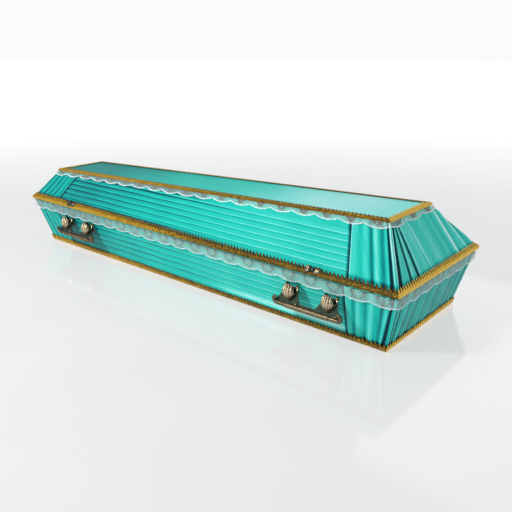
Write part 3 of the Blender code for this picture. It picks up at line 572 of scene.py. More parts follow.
def foldList(end, isLid, lowRun, highRun):
    # the head end follows the photograph, the foot end is a calmer fan of its own
    if end == "head":
        main = gathers["lidHead" if isLid else "boxHead"]
        cuff = gathers["lidHeadCuff" if isLid else "boxHeadCuff"]
    else:
        main, cuff = [], gathers["footCuff"]
        draw = np.random.RandomState(5 + isLid)
        place = 0.02
        while place < 0.97:
            width = draw.uniform(0.006, 0.013)
            depth = draw.uniform(0.0012, 0.0026) * (1 if len(main) % 2 else -1)
            fan = place ** (1.25 if isLid else 1.0)
            # painted light: raised folds are drawn lighter and sunken ones darker
            main.append((place * lowRun, fan * highRun, width, depth, depth * 95))
            place += draw.uniform(0.028, 0.06)
    folds = [tuple(f) for f in main]
    # the box's cuff at the foot is a little wider at the base
    wider = 1 if end == "head" or isLid else 1.05
    for low, high, width, depth, tone in cuff:
        folds.append((-low * wider, -high, width, depth, tone))
        folds.append((lowRun + low * wider, highRun + high, width, depth, tone))
    return folds


def gatheredEnd(name, end, isLid, seed):
    walls = lidWalls if isLid else boxWalls
    seamOf = lidSeam if isLid else boxSeam
    part = "lid" if isLid else "box"
    lowTrim, highTrim = (0.105, 0.955) if isLid else (0.13, 0.97)
    before, after = neighbours(end)
    posts = [(before, seamOf(before, end)), (before, walls[end]),
             (end, walls[after]), (after, seamOf(after, end))]
    lowPlane = level(lidWide) if isLid else level(0.0012)
    highPlane = lidTop(-0.0004) if isLid else level(coffin["joint"] - 0.001)

    def postAt(i, plane, wallSet):
        wall, other = posts[i]
        # a seam's plane stays, and a wall is taken from the set that the row lies on
        second = other if i in (0, 3) else wallSet[end if i == 1 else after]
        return meet(plane, wallSet[wall], second)

    # columns: an even share of each stretch, with closer ones beside the corners
    stretches = []
    for i in range(3):
        run = np.linalg.norm(postAt(i + 1, lowPlane, walls) - postAt(i, lowPlane, walls))
        run = max(run, np.linalg.norm(postAt(i + 1, highPlane, walls) - postAt(i, highPlane, walls)))
        shares = list(np.linspace(0, 1, int(run / gathers["columnStep"]) + 1))
        near = [d / run for d in (0.0008, 0.0016)]
        if i:
            shares += near
        if i < 2:
            shares += [1 - s for s in near]
        shares = sorted(set(shares))
        stretches.append(shares if i == 2 else shares[:-1])
    columns = [(i, s) for i, shares in enumerate(stretches) for s in shares]
    count = len(columns)
    which = np.array([c[0] for c in columns])
    share = np.array([c[1] for c in columns])

    levels = np.linspace(0, 1, gathers["rows"])
    rows = [(between(lowPlane, highPlane, v), walls, v) for v in levels]
    if isLid:
        rows = [(level(lidLow), plumbWalls, 0.0), (level(lidWide - 0.001), plumbWalls, 0.0)] + rows
    lowRun = np.linalg.norm(postAt(2, lowPlane, walls) - postAt(1, lowPlane, walls))
    highRun = np.linalg.norm(postAt(2, highPlane, walls) - postAt(1, highPlane, walls))
    folds = foldList(end, isLid, lowRun, highRun)
    points, shades, lays = [], [], []
    for plane, wallSet, v in rows:
        corners = [postAt(i, plane, wallSet) for i in range(4)]
        normals = [wallSet[before][0], wallSet[end][0], wallSet[after][0]]
        runs = [np.linalg.norm(corners[i + 1] - corners[i]) for i in range(3)]
        base = np.array([corners[i] * (1 - s) + corners[i + 1] * s for i, s in columns])
        # distance along the row from the first corner, negative on the first cuff
        along = np.where(which == 0, (share - 1) * runs[0],
                         np.where(which == 1, share * runs[1], runs[1] + share * runs[2]))
        normal = np.array([normals[i] for i, _ in columns])
        for corner, (a, b) in ((0.0, (0, 1)), (runs[1], (1, 2))):
            off = along - corner
            turn = smooth(off, -0.0028, 0.0028)[:, None]
            bent = normals[a] * (1 - turn) + normals[b] * turn
            near = np.abs(off) < 0.0028
            normal[near] = (bent / np.linalg.norm(bent, axis=1, keepdims=True))[near]
        height = np.full(count, gathers["rest"])
        # painted light and shade of the face, then of each fold
        main, cuff = gathers["paintedTones"][part + end.capitalize()]
        onEnd = smooth(np.minimum(along, runs[1] - along), -0.004, 0.004)
        shade = cuff + (main - cuff) * onEnd + 0.02 * wander(along * 3 + v, seed, 0.5)
        bow = math.sin(math.pi * v)
        for low, high, width, depth, tone in folds:
            middle = low + (high - low) * v ** 1.05
            spread = width * ((0.60 + 0.85 * (1 - v)) if tone < -0.5 else (0.70 + 0.45 * bow))
            # deep folds have steep sides and a flat floor
            shape = np.exp(-np.abs((along - middle) / spread) ** (4 if tone < -0.5 else 2))
            height += depth * shape
            shade += tone * shape
        height += 0.0004 * wander(along + 0.3 * v, seed + 3, 0.018)
        shade += 0.035 * wander(along + 0.03 * v, seed + 5, 0.016)
        # painted shade behind the teeth of the braid
        shade -= 0.32 * hump(base[:, 2], lidWide + 0.0145 if isLid else 0.0235, 0.0050)
        height = np.clip(height, gathers["least"], gathers["most"])
        # under the braid and the lace the cloth is pressed flat
        if v < 0.5:
            press = smooth(v, lowTrim + 0.02, lowTrim - 0.03)
        else:
            press = smooth(v, highTrim - 0.12, highTrim)
        height = height * (1 - press) + np.minimum(height, gathers["underTrim"]) * press
        # the hem at each seam rolls down to the pleats, with a painted highlight on the roll and painted shade
        # at the seam
        fromSeam = np.minimum(along + runs[0], runs[1] + runs[2] - along)
        hem = 1 - smooth(fromSeam, 0.0, 0.0035)
        height = height * (1 - hem) + 0.0012 * hem + 0.0022 * hump(fromSeam, 0.005, 0.003) * (1 - press)
        shade = shade + 0.22 * hump(fromSeam, 0.0045, 0.0025) - 0.45 * hump(fromSeam, 0.0, 0.0016)
        points.append(base + normal * height[:, None])
        shades.append(shade)
        lays.append(np.stack((along, np.full(count, v * 0.25), np.zeros(count)), -1))
    return addPiece(name, points, gridFaces(len(rows), count), gatheredSatin,
                    [f"{part}_cloth_{end}"], {"fold": np.clip(shades, 0, 1), "lay": lays})


for end, seed in (("head", 31), ("foot", 61)):
    for part, isLid in (("lid", True), ("box", False)):
        cloth = gatheredEnd(f"satin_{part}_{end}", end, isLid, seed + (9 if isLid else 0))
print("gathered ends made")


# Smooth satin stretched over the top board.

topSheet = {"columns": 260, "rows": 44, "height": 0.0016}


def stretchedTop():
    top = lidTop(0.0)
    corners = {}
    for i, wall in enumerate(wallNames):
        other = wallNames[(i + 1) % 4]
        corners[wall + other] = meet(top, shifted(lidWalls[wall], 0.003), shifted(lidWalls[other], 0.003))
    low = (corners["footright"], corners["righthead"])
    high = (corners["leftfoot"], corners["headleft"])
    u = np.linspace(0, 1, topSheet["columns"])[None, :, None]
    v = np.linspace(0, 1, topSheet["rows"])[:, None, None]
    base = (low[0] * (1 - u) + low[1] * u) * (1 - v) + (high[0] * (1 - u) + high[1] * u) * v
    x, y = base[..., 0], base[..., 1]
    edge = np.minimum(np.minimum(u, 1 - u) * 1.8, np.minimum(v, 1 - v) * 0.28)[..., 0]
    inside = smooth(edge, 0.0, 0.03)
    height = topSheet["height"] + inside * (0.0006 + 0.0004 * wander(y * 1.0 + 0.02 * x, 71, 0.045)
                                            + 0.0005 * wander(x * 0.6 + y * 0.5, 72, 0.5))
    # painted reflection: the top is drawn dark at the foot and pale towards the head, a little darker again at
    # the very head
    shade = 0.32 + 0.27 * smooth(x, -0.75, 0.05) + 0.31 * smooth(x, 0.0, 0.6) - 0.06 * smooth(x, 0.65, 0.85)
    shade = shade + 0.035 * wander(y + 0.01 * x, 73, 0.02) * (0.6 + 0.4 * wander(x, 75, 0.6))
    # painted shade at the edges of the top, beside the braid
    shade = shade + 0.02 * wander(x + y, 74, 0.4) - 0.20 * (1 - smooth(edge, 0.0, 0.012))
    lay = np.stack((y, x, np.zeros_like(x)), -1)
    points = base + top[0] * height[..., None]
    return addPiece("satin_lid_top", points, gridFaces(*height.shape), topSatin, ["lid_cloth_top"],
                    {"fold": np.clip(shade, 0, 1), "lay": lay})


topCloth = stretchedTop()
print("top made")


# Bands that run round all four walls: braid and lace. A corner function gives the place of a
# band's corner between two walls, for a share w of its width and a thickness t over its ground.

def bandWall(cornerAt, i, stations):
    # the four grids of a wall's band: places at its two ends, and how they move with thickness
    ends = []
    for k in (i, (i + 1) % 4):
        first, second = wallNames[k - 1], wallNames[k]
        flat = np.array([cornerAt(first, second, w, 0.0) for w in stations])
        thick = np.array([cornerAt(first, second, w, 0.01) for w in stations])
        ends.append((flat, (thick - flat) / 0.01))
    return ends


def spread(pair, share):
    return pair[0][:, None] * (1 - share[None, :, None]) + pair[1][:, None] * share[None, :, None]


braid = {
    "toothPitch": 0.0155, "perTooth": 10, "lean": 0.0030, "rib": 0.0010, "cord": 0.0010,
    "ribsPerTooth": 3, "thickness": 0.0022, "cordShare": 0.34,
    "stations": [0.0, 0.05, 0.11, 0.17, 0.23, 0.29, 0.36, 0.45, 0.54, 0.62, 0.72, 0.82, 0.92, 1.0],
}


def braidRelief(t, w):
    # t counts teeth along the braid, w runs from its plain edge (0) to its toothed edge (1)
    tooth = (1 - 2 * np.abs((t % 1) - 0.5)) ** 1.3
    lower = w < braid["cordShare"]
    cords = np.where(lower, np.abs(np.sin(2 * math.pi * w / braid["cordShare"])), 0)
    twist = 0.5 + 0.5 * np.sin(2 * math.pi * (t * braid["ribsPerTooth"] + w * 5))
    ribs = np.abs(np.cos(math.pi * (t * braid["ribsPerTooth"] + 1.1 * (w - 0.3)))) ** 0.8
    body = np.where(lower, 0, 1) * ribs
    plait = 0.5 + 0.5 * np.cos(2 * math.pi * (t + 0.5)) * np.cos(2 * math.pi * (w - 0.3) / 0.7)
    height = braid["cord"] * cords * (0.75 + 0.25 * twist) + braid["rib"] * body * (0.7 + 0.3 * plait)
    # painted light: raised cords and ribs are drawn lighter; the grooves and the flanks of the teeth get painted
    # shade
    light = np.where(lower, 0.34 + 0.34 * cords * (0.7 + 0.3 * twist),
                     0.22 + 0.42 * ribs * (0.75 + 0.25 * plait))
    flank = smooth(w, 0.60, 0.80) * (1 - smooth(tooth, 0.15, 0.75))
    groove = hump(w, braid["cordShare"] + 0.03, 0.03) + hump(w, 0.0, 0.04)
    return height - 0.0005 * groove, light - 0.20 * groove, tooth, flank


def ringBraid(name, node, cornerAt, toothDepth, shadeFall):
    grids, faces, shades, total = [], [], [], 0
    stations = braid["stations"]
    w = np.array(stations)[:, None]
    for i, wall in enumerate(wallNames):
        (a, aLift), (b, bLift) = bandWall(lambda f, g, q, t: cornerAt(f, g, q, t, 0.0), i, stations)
        (aTip, _), (bTip, _) = bandWall(lambda f, g, q, t: cornerAt(f, g, q, t, toothDepth), i, [1.0])
        run = np.linalg.norm(b[0] - a[0])
        teeth = max(1, round(run / braid["toothPitch"]))
        share = np.linspace(0, 1, teeth * braid["perTooth"] + 1)
        height, light, tooth, flank = braidRelief(share[None] * teeth, w)
        edge = smooth(w, 0.0, 0.05) * smooth(1 - w, -0.02, 0.10)
        thick = (braid["thickness"] + height) * np.maximum(edge, 0.25)
        # at the mitres the relief dies out, so that the two walls' braids meet
        mitre = smooth(np.minimum(share, 1 - share)[None] * run, 0.0, 0.004)
        thick = thick * mitre + braid["thickness"] * np.maximum(edge, 0.25) * (1 - mitre)
        band = spread((a, b), share) + spread((aLift, bLift), share) * thick[..., None]
        reach = (spread((aTip, bTip), share) - spread((a[-1:], b[-1:]), share)) * tooth[..., None]
        along = (b[0] - a[0]) / run * (1 if wall in ("left", "foot") else -1)
        pull = smooth(w, 0.55, 1.0)[..., None]
        band = band + pull * (reach + along * braid["lean"] * (tooth * mitre)[..., None])
        # painted shade: the long sides are drawn browner and darker towards the head, and the flanks of their
        # teeth darker with them
        headward = smooth(band[..., 0], -0.6, 0.5)
        if wall in ("right", "left"):
            light = light + 0.06 * (1 - headward) - shadeFall * headward
            light = light - (0.34 + 0.22 * headward) * flank
        else:
            # painted light on the end walls, with painted shade on the flanks of the teeth
            light = light + 0.36 - 0.55 * flank
        grids.append(band.reshape(-1, 3))
        faces += gridFaces(len(stations), len(share), total)
        shades.append(light.ravel())
        total += len(stations) * len(share)
    return addPiece(name, np.concatenate(grids), faces, goldBraid, [node],
                    {"fold": np.clip(np.concatenate(shades), 0, 1)})


def meetWalls(row, walls, first, second, distance):
    return meet(row, shifted(walls[first], distance), shifted(walls[second], distance))


def rimCorner(first, second, w, t, extra):
    # folded over the lid's rim: the plumb edge first, then up the slope
    split, bend = 0.26, 0.03
    if w < split - bend:
        z = lidLow + 0.0030 + (lidWide - lidLow - 0.0045) * w / (split - bend)
        return meetWalls(level(z), plumbWalls, first, second, trimFace + t)
    if w < split + bend:
        row = level(lidWide + 0.35 * (trimFace + t))
    else:
        low, high = lidWide + 0.0030, lidWide + 0.0100 + extra
        row = level(low + (high - low) * (w - split - bend) / (1 - split - bend) + 0.35 * t)
    return meetWalls(row, lidWalls, first, second, trimFace + t)


def baseCorner(first, second, w, t, extra):
    row = level(0.0012 + (0.0185 + extra) * w)
    return meetWalls(row, boxWalls, first, second, trimFace + t)


def topCorner(first, second, w, t, extra):
    # over the top edge: up the slope, then inward on the top, where the teeth stand up a little
    split, bend = 0.26, 0.03
    ground = coffin["gap"] * 2 + coffin["clothThin"]
    over = trimFace + 0.0006
    if w < split - bend:
        row = lidTop(-0.0030 * (1 - w / (split - bend)) - 0.0004)
        return meetWalls(row, lidWalls, first, second, over + t)
    if w < split + bend:
        return meetWalls(lidTop(ground + t), lidWalls, first, second, over + t)
    share = (w - split - bend) / (1 - split - bend)
    inward = 0.0010 + (0.0080 + extra) * share
    walls = [shifted(lidWalls[k], over - inward * math.hypot(*lidWalls[k][0][:2])) for k in (first, second)]
    return meet(lidTop(ground + t + 0.40 * extra * share), *walls)


rimBraid = ringBraid("braid_lid_rim", "braid_rim", rimCorner, 0.0100, 0.30)
baseBraid = ringBraid("braid_box_base", "braid_base", baseCorner, 0.0085, 0.16)
topBraid = ringBraid("braid_lid_top", "braid_top", topCorner, 0.0070, 0.16)
print("braids made")


# Net lace with a scalloped picot edge.

lace = {
    "pitch": 0.0925, "perScallop": 30, "rows": 14, "scallop": 0.0085,
    "boxTop": 0.0030, "boxDrop": 0.0370, "boxFlare": 0.0055, "boxLength": 5.1,
    "lidDrop": 0.0225, "lidLength": 4.3, "tacked": 0.25,  # share of the drop that is out of sight
    "border": 0.0013, "picot": 0.0034, "picotPitch": 0.0058, "perPicot": 6, "florets": 13,
}


def laceBand(name, node, walls, rowAt, drop, flare):
    grids, faces, total, garlands, fills, lays = [], [], 0, [], [], []
    edges, edgeFaces, edgeTotal, florets = [], [], 0, []
    draw = np.random.RandomState(17)
    v = np.linspace(0, 1, lace["rows"])[:, None]

    def cornerAt(first, second, w, t):
        return meetWalls(rowAt(w * drop), walls, first, second, trimFace + 0.0003 + flare * w + t)

    for i, wall in enumerate(wallNames):
        (a, aLift), (b, bLift) = bandWall(cornerAt, i, [0.0, 1.0])
        run = np.linalg.norm(b[0] - a[0])
        scallops = max(1, round(run / lace["pitch"]))

        def place(share, down, lift):
            # share runs along the wall, down is metres from the lace's top, lift is metres off the cloth
            depth = (down / drop)[..., None]
            flat = spread((a, b), share)
            rise = spread((aLift, bLift), share)
            off = (rise[:1] * (1 - depth) + rise[1:] * depth) * lift[..., None]
            return flat[:1] * (1 - depth) + flat[1:] * depth + off

        share = np.linspace(0, 1, scallops * lace["perScallop"] + 1)
        phase = (share * scallops) % 1
        # no two scallops hang quite alike
        uneven = 1 + 0.05 * wander(share * run, 40 + i, 0.4)
        bottom = drop * uneven - lace["scallop"] * (2 * phase - 1) ** 2
        down = v * bottom[None]
        ripple = 0.0004 + 0.0004 * np.sin(2 * math.pi * share * scallops * 2 + 1.5 * v) * v
        grids.append(place(share, down, ripple).reshape(-1, 3))
        faces += gridFaces(lace["rows"], len(share), total)
        total += lace["rows"] * len(share)
        # the garland hangs in each scallop like a U, round a closer ground
        across = (phase[None] - 0.5) * lace["pitch"] / 1.35
        centre, radius = drop * 0.28, drop * 0.44
        ring = np.hypot(across, np.maximum(down - centre, 0) + 0.35 * np.minimum(down - centre, 0))
        garlands.append((0.58 * hump(ring, radius, 0.0065) + 0.30 * hump(down, 0.004, 0.005)
                         + 0.30 * hump(np.hypot(across, down - centre * 1.3), 0.004, 0.003)).ravel())
        fills.append((smooth(radius - ring, -0.001, 0.004) * 0.35 + 0.3 * smooth(v, 0.80, 0.95)).ravel())
        onward = np.broadcast_to(share * run, down.shape)
        lays.append(np.stack((onward, down, np.zeros_like(down)), -1).reshape(-1, 3))
        # picots: small loops along the border, drawn as a raised ragged cord
        fine = np.linspace(0, 1, max(2, round(run / lace["picotPitch"])) * lace["perPicot"] + 1)
        finePhase = (fine * scallops) % 1
        low = (drop * (1 + 0.05 * wander(fine * run, 40 + i, 0.4))
               - lace["scallop"] * (2 * finePhase - 1) ** 2)
        loop = np.abs(np.sin(math.pi * fine * run / lace["picotPitch"])) ** 0.7
        size = 0.75 + 0.35 * wander(fine * run, 80 + i, 0.02)
        rows = []
        for share2, lift in ((-1.0, 0.0001), (-0.6, 0.0011), (-0.2, 0.0013), (0.3, 0.0008), (1.0, 0.0002)):
            down2 = low + (lace["border"] * share2 if share2 < 0 else lace["picot"] * share2 * loop * size)
            rows.append(place(fine, down2[None], np.full((1, len(fine)), lift) * (0.6 + 0.4 * loop[None]))[0])
        edges.append(np.array(rows).reshape(-1, 3))
        edgeFaces += gridFaces(5, len(fine), edgeTotal)
        edgeTotal += 5 * len(fine)
        for k in range(scallops):
            for j in range(lace["florets"]):
                angle = math.pi * (0.03 + 0.94 * j / (lace["florets"] - 1))
                spot = (k + 0.5) / scallops + 1.35 * radius * math.cos(angle) / run
                if 0.004 / run < spot < 1 - 0.004 / run:
                    fall = centre + radius * math.sin(angle) + draw.uniform(-0.0008, 0.0008)
                    middle = place(np.array([spot]), np.array([[fall]]), np.array([[0.0009]]))[0, 0]
                    turned = angle + draw.uniform(-0.4, 0.4)
                    florets.append((middle, walls[wall][0], turned, draw.uniform(0.0013, 0.0022)))
    net = addPiece(name, np.concatenate(grids), faces, whiteLace, [node],
                   {"garland": np.concatenate(garlands), "filled": np.clip(np.concatenate(fills), 0, 1),
                    "lay": np.concatenate(lays)})
    border = addPiece(name + "_picots", np.concatenate(edges), edgeFaces, whiteThread)
    points, leafFaces = [], []
    for middle, normal, angle, size in florets:
        along = np.cross(up, normal)
        along /= np.linalg.norm(along)
        upward = np.cross(normal, along)
        first = len(points)
        points.append(middle + normal * 0.0006)
        for step in range(7):
            turn = 2 * math.pi * step / 7 + angle
            reach = size * (1 if step % 2 else 0.7)
            points.append(middle + along * reach * math.cos(turn) + upward * reach * math.sin(turn))
            leafFaces.append([first, first + 1 + step, first + 1 + (step + 1) % 7])
    leaves = addPiece(name + "_garland", points, leafFaces, taupeThread)


laceBand("lace_box_joint", "lace_box", boxWalls,
         lambda down: level(coffin["joint"] - lace["boxTop"] - down),
         lace["boxDrop"], lace["boxFlare"])
laceBand("lace_lid_edge", "lace_lid", lidWalls,
         lambda down: lidTop(coffin["gap"] + coffin["clothThin"] - down),
         lace["lidDrop"], 0.0)
print("lace made")


# Cast handles: twisted bar, plate behind it, two palmettes and their stems.

handle = {
    "headX": 0.684, "footX": -0.626, "underLace": 0.0050, "standoff": 0.050,
    "straight": 0.244, "curl": 0.016, "curlEnd": 3.6, "radius": 0.0090, "endRadius": 0.0075,
    "grip": 0.176, "strands": 4, "lead": 0.032, "twistDepth": 0.055, "sides": 28,
    "spacing": 0.157, "plateTop": 0.056, "plateTopOut": 0.014, "plateStrip": 0.013, "plateHalf": 0.052,
    "plateFlat": 0.42, "plateHollow": 1.6, "plateThick": 0.0036,
    "leafLow": 0.020, "leafHeight": 0.060, "leafFoot": 0.0080, "leafBelly": 0.0185, "leafSweep": 2.15,
    "leafThick": 0.0030, "flutes": 6, "fan": 0.50, "flute": 0.0017, "tip": 0.0110, "cleft": 0.020,
    "stemWall": (0.028, 0.0130), "stemFront": (0.037, 0.0100), "stemReach": 0.030, "laceClear": 0.0615,
}


def barPart():
    half, grip, sides = handle["straight"] / 2, handle["grip"] / 2, handle["sides"]
    path = []
    for x in np.linspace(-half, half, 220):
        swell = smooth(grip + 0.004 - abs(x), 0, 0.006)
        path.append((x, 0.0, 0.0, handle["endRadius"] + (handle["radius"] - handle["endRadius"]) * swell))
    # both ends roll upward into a small scroll
    ends, x, y = [], half, 0.0
    steps = 34
    for i in range(1, steps + 1):
        share = i / steps
        turn = handle["curlEnd"] * share
        radius = handle["curl"] * (1 - 0.62 * share)
        x += math.cos(turn) * radius * handle["curlEnd"] / steps
        y += math.sin(turn) * radius * handle["curlEnd"] / steps
        ends.append((x, y, turn, handle["endRadius"] * (1 - 0.38 * share)))
    path = [(-x, y, -turn, r) for x, y, turn, r in ends[::-1]] + path + ends
    angle = 2 * math.pi * np.arange(sides) / sides
    rings, shades = [], []
    for x, y, turn, radius in path:
        inGrip = smooth(grip - abs(x), -0.002, 0.003)
        ridge = np.abs(np.sin(handle["strands"] / 2 * (angle - 2 * math.pi * x / handle["lead"]))) * 2 - 1
        r = radius * (1 + inGrip * handle["twistDepth"] * ridge)
        across = r * np.cos(angle)
        rings.append(np.stack((x - across * math.sin(turn), y + across * math.cos(turn),
                               handle["standoff"] + r * np.sin(angle)), -1))
        # painted light: the twisted ridges are drawn lighter and the grooves darker
        shades.append(0.44 + 0.13 * inGrip * ridge)
    points = np.concatenate((np.array(rings).reshape(-1, 3), [rings[0].mean(0), rings[-1].mean(0)]))
    faces = [f[::-1] for f in gridFaces(len(rings), sides, closed=True)]
    last = len(rings) * sides
    faces += [[last, (i + 1) % sides, i] for i in range(sides)]
    faces += [[last + 1, last - sides + i, last - sides + (i + 1) % sides] for i in range(sides)]
    return points, faces, np.concatenate((np.array(shades).ravel(), (0.5, 0.5)))


def shell(front, back, shadeFront, shadeBack):
    # a closed solid between two grids of the same size
    rows, columns = front.shape[:2]
    faces = gridFaces(rows, columns) + [f[::-1] for f in gridFaces(rows, columns, rows * columns)]
    loop = [(0, c) for c in range(columns)] + [(r, columns - 1) for r in range(1, rows)]
    loop += [(rows - 1, c) for c in range(columns - 2, -1, -1)] + [(r, 0) for r in range(rows - 2, 0, -1)]
    ids = [r * columns + c for r, c in loop]
    for a, b in zip(ids, ids[1:] + ids[:1]):
        faces.append([b, a, a + rows * columns, b + rows * columns])
    return (np.concatenate((front.reshape(-1, 3), back.reshape(-1, 3))), faces,
            np.concatenate((shadeFront.ravel(), shadeBack.ravel())))


def platePart():
    reach = handle["spacing"] / 2 + handle["plateHalf"]
    x = np.tile(np.linspace(-reach, reach, 121), (12, 1))
    off = np.abs(np.abs(x) - handle["spacing"] / 2) / handle["plateHalf"]
    rise = np.clip((1 - off) / (1 - handle["plateFlat"]), 0, 1) ** handle["plateHollow"]
    tall = handle["plateStrip"] + (handle["plateTop"] - handle["plateStrip"]) * rise
    climb = np.array((0, handle["plateTop"], handle["plateTopOut"] - handle["standoff"])) / handle["plateTop"]
    out = np.cross((1.0, 0, 0), climb)
    out /= np.linalg.norm(out)
    v = np.linspace(0, 1, 12)[:, None]
    base = np.stack((x, np.zeros_like(x), np.full_like(x, handle["standoff"])), -1)
    base = base + climb * (v * tall)[..., None]
    bead = 0.0009 * hump(v, 0.93, 0.07) * np.ones_like(x)
    thick = handle["plateThick"] / 2
    # painted light: a highlight along the bead at the top, and painted shade on the back face
    shade = 0.25 + 0.10 * hump(v, 0.93, 0.08) + 0.04 * wander(x * 3, 91, 0.1)
    return shell(base + out * (thick + bead)[..., None], base - out * thick, shade, shade * 0.6)


def palmettePart(centre):
    # a bud-like cup: fine flutes in front that lean back at the top, and a broad lobe at each side
    v = np.linspace(0, 1, 30)[:, None]
    a = np.linspace(-1, 1, 95)[None]
    angle, off = a * handle["leafSweep"], np.abs(a)
    inFan = off < handle["fan"]
    flutes = np.abs(np.cos(math.pi * handle["flutes"] * a / (2 * handle["fan"]))) ** 0.6
    across = np.clip((off - handle["fan"]) / (1 - handle["fan"]), 0, 1)
    lobe = np.where(inFan, flutes, np.sin(math.pi * across) ** 0.5)
    cleft = hump(off, handle["fan"] + 0.03, 0.038) * smooth(v, 0.45, 0.95)
    radius = handle["leafFoot"] + handle["leafBelly"] * smooth(v, -0.1, 0.68) - 0.0075 * smooth(v, 0.70, 1.05)
    radius = radius * np.sqrt(smooth(v, -0.02, 0.10)) + np.where(inFan, 0, 0.0050) * smooth(v, 0.35, 0.9)
    radius = radius - handle["flute"] * (1 - lobe) * smooth(v, 0.15, 0.5) - 0.0020 * cleft
    # the fan is highest in the middle, and the side lobes stop lower
    reach = np.where(inFan, 1 - 0.22 * (off / handle["fan"]) ** 2, 0.74 - 0.10 * (2 * across - 1) ** 2)
    height = handle["leafLow"] + handle["leafHeight"] * v * reach
    height = height - handle["tip"] * (1 - lobe) * smooth(v, 0.6, 1.0) - handle["cleft"] * cleft
    belly = 0.006 * np.sin(math.pi * np.minimum(1, v * 1.05))
    front = handle["standoff"] - 0.002 + belly - 0.013 * smooth(v, 0.50, 1.05)

    def at(r):
        return np.stack((centre + r * np.sin(angle), height + 0 * angle, front - radius + r * np.cos(angle)), -1)

    # painted light: the fan is drawn bright and the lobes dimmer; the grooves, tips and clefts get painted
    # shade, each lobe a painted highlight along its inner edge, and the inside of the cup painted shade near
    # black
    shade = 0.42 + 0.44 * smooth(v, 0.15, 0.5) * np.where(inFan, 1, 0.45)
    shade = shade - 0.50 * (1 - lobe) * smooth(v, 0.2, 0.45) - 0.12 * smooth(v, 0.90, 1.0) - 0.7 * cleft
    shade = shade + 0.45 * hump(off, handle["fan"] + 0.10, 0.03) * smooth(v, 0.4, 0.6)
    inside = np.full_like(shade, 0.02)
    return shell(at(radius), at(np.maximum(radius - handle["leafThick"], 0.0008)), shade, inside)


def stemPart(centre):
    rings, shades = [], []
    (wallY, wallR), (frontY, frontR) = handle["stemWall"], handle["stemFront"]
    angle = -2 * math.pi * np.arange(handle["sides"]) / handle["sides"]
    for t in np.linspace(0, 1, 14):
        radius = wallR + (frontR - wallR) * t + 0.0022 * hump(t, 0.0, 0.10) + 0.0014 * hump(t, 0.45, 0.09)
        y = wallY + (frontY - wallY) * t
        rings.append(np.stack((centre + radius * np.cos(angle), y + radius * np.sin(angle),
                               np.full_like(angle, handle["stemReach"] * t)), -1))
        # painted highlights on the collar at the wall and the one half-way
        shades.append(np.full_like(angle, 0.28 + 0.22 * hump(t, 0.0, 0.1) + 0.25 * hump(t, 0.45, 0.09)))
    faces = [f[::-1] for f in gridFaces(14, handle["sides"], closed=True)]
    return np.array(rings).reshape(-1, 3), faces, np.array(shades).ravel()


def knobPart(x, y, z, size):
    # a small cast bud where the plate meets the bar
    rows, sides = 9, 14
    tilt = np.linspace(0.02, math.pi - 0.02, rows)[:, None]
    turn = (2 * math.pi * np.arange(sides) / sides)[None]
    points = np.stack((x + size[0] * np.sin(tilt) * np.cos(turn), y + size[1] * np.sin(tilt) * np.sin(turn),
                       z + size[2] * np.cos(tilt) + 0 * turn), -1)
    return (points.reshape(-1, 3), [f[::-1] for f in gridFaces(rows, sides, closed=True)],
            np.full(rows * sides, 0.60))


def wallFrame(walls, wall, x, height, distance):
    # along the wall, up it, out of it, and the place
    plane = shifted(walls[wall], distance)
    along = np.cross(up, plane[0])
    along /= np.linalg.norm(along)
    origin = meet(plane, level(height), (np.array((1.0, 0, 0)), x))
    return np.array((along, np.cross(plane[0], along), plane[0])), origin


def mountCastings(name, node, casting, walls, sizes, height, distance):
    # one casting near each end of both long sides
    local, faces, shade = casting
    for end in ("head", "foot"):
        for side in ("right", "left"):
            axes, origin = wallFrame(walls, side, sizes[end + "X"], height, distance)
            addPiece(f"{name}_{side}_{end}", local @ axes + origin, faces, oldBronze,
                     [f"{node}_{side}_{end}"], {"fold": np.clip(shade, 0, 1)}, sharp=50)


def makeHandles():
    parts = [barPart(), platePart()]
    for side in (-1, 1):
        centre = side * handle["spacing"] / 2
        parts += [palmettePart(centre), stemPart(centre),
                  knobPart(centre + 0.034, 0.012, handle["standoff"] - 0.004, (0.0050, 0.0044, 0.0050))]
    points, faces, shades, total = [], [], [], 0
    for part in parts:
        points.append(part[0])
        faces += [[i + total for i in face] for face in part[1]]
        shades.append(part[2])
        total += len(part[0])
    laceLow = coffin["joint"] - lace["boxTop"] - lace["boxDrop"]
    lean = math.hypot(*boxWalls["right"][0][:2])
    whole = np.concatenate(points), faces, np.concatenate(shades)
    mountCastings("bronze_handle", "handle", whole, boxWalls, handle,
                  laceLow - handle["underLace"] - handle["laceClear"] * lean, trimFace)


makeHandles()
print("handles made")


# Small cast bows that hold the lid down, on the rim braid.

bow = {"headX": 0.685, "footX": -0.678, "length": 0.066, "waist": 0.0145, "edge": 0.0014, "lobe": 0.0048,
       "boss": 0.0062, "underEdge": 0.005, "rows": 20, "spokes": 98}


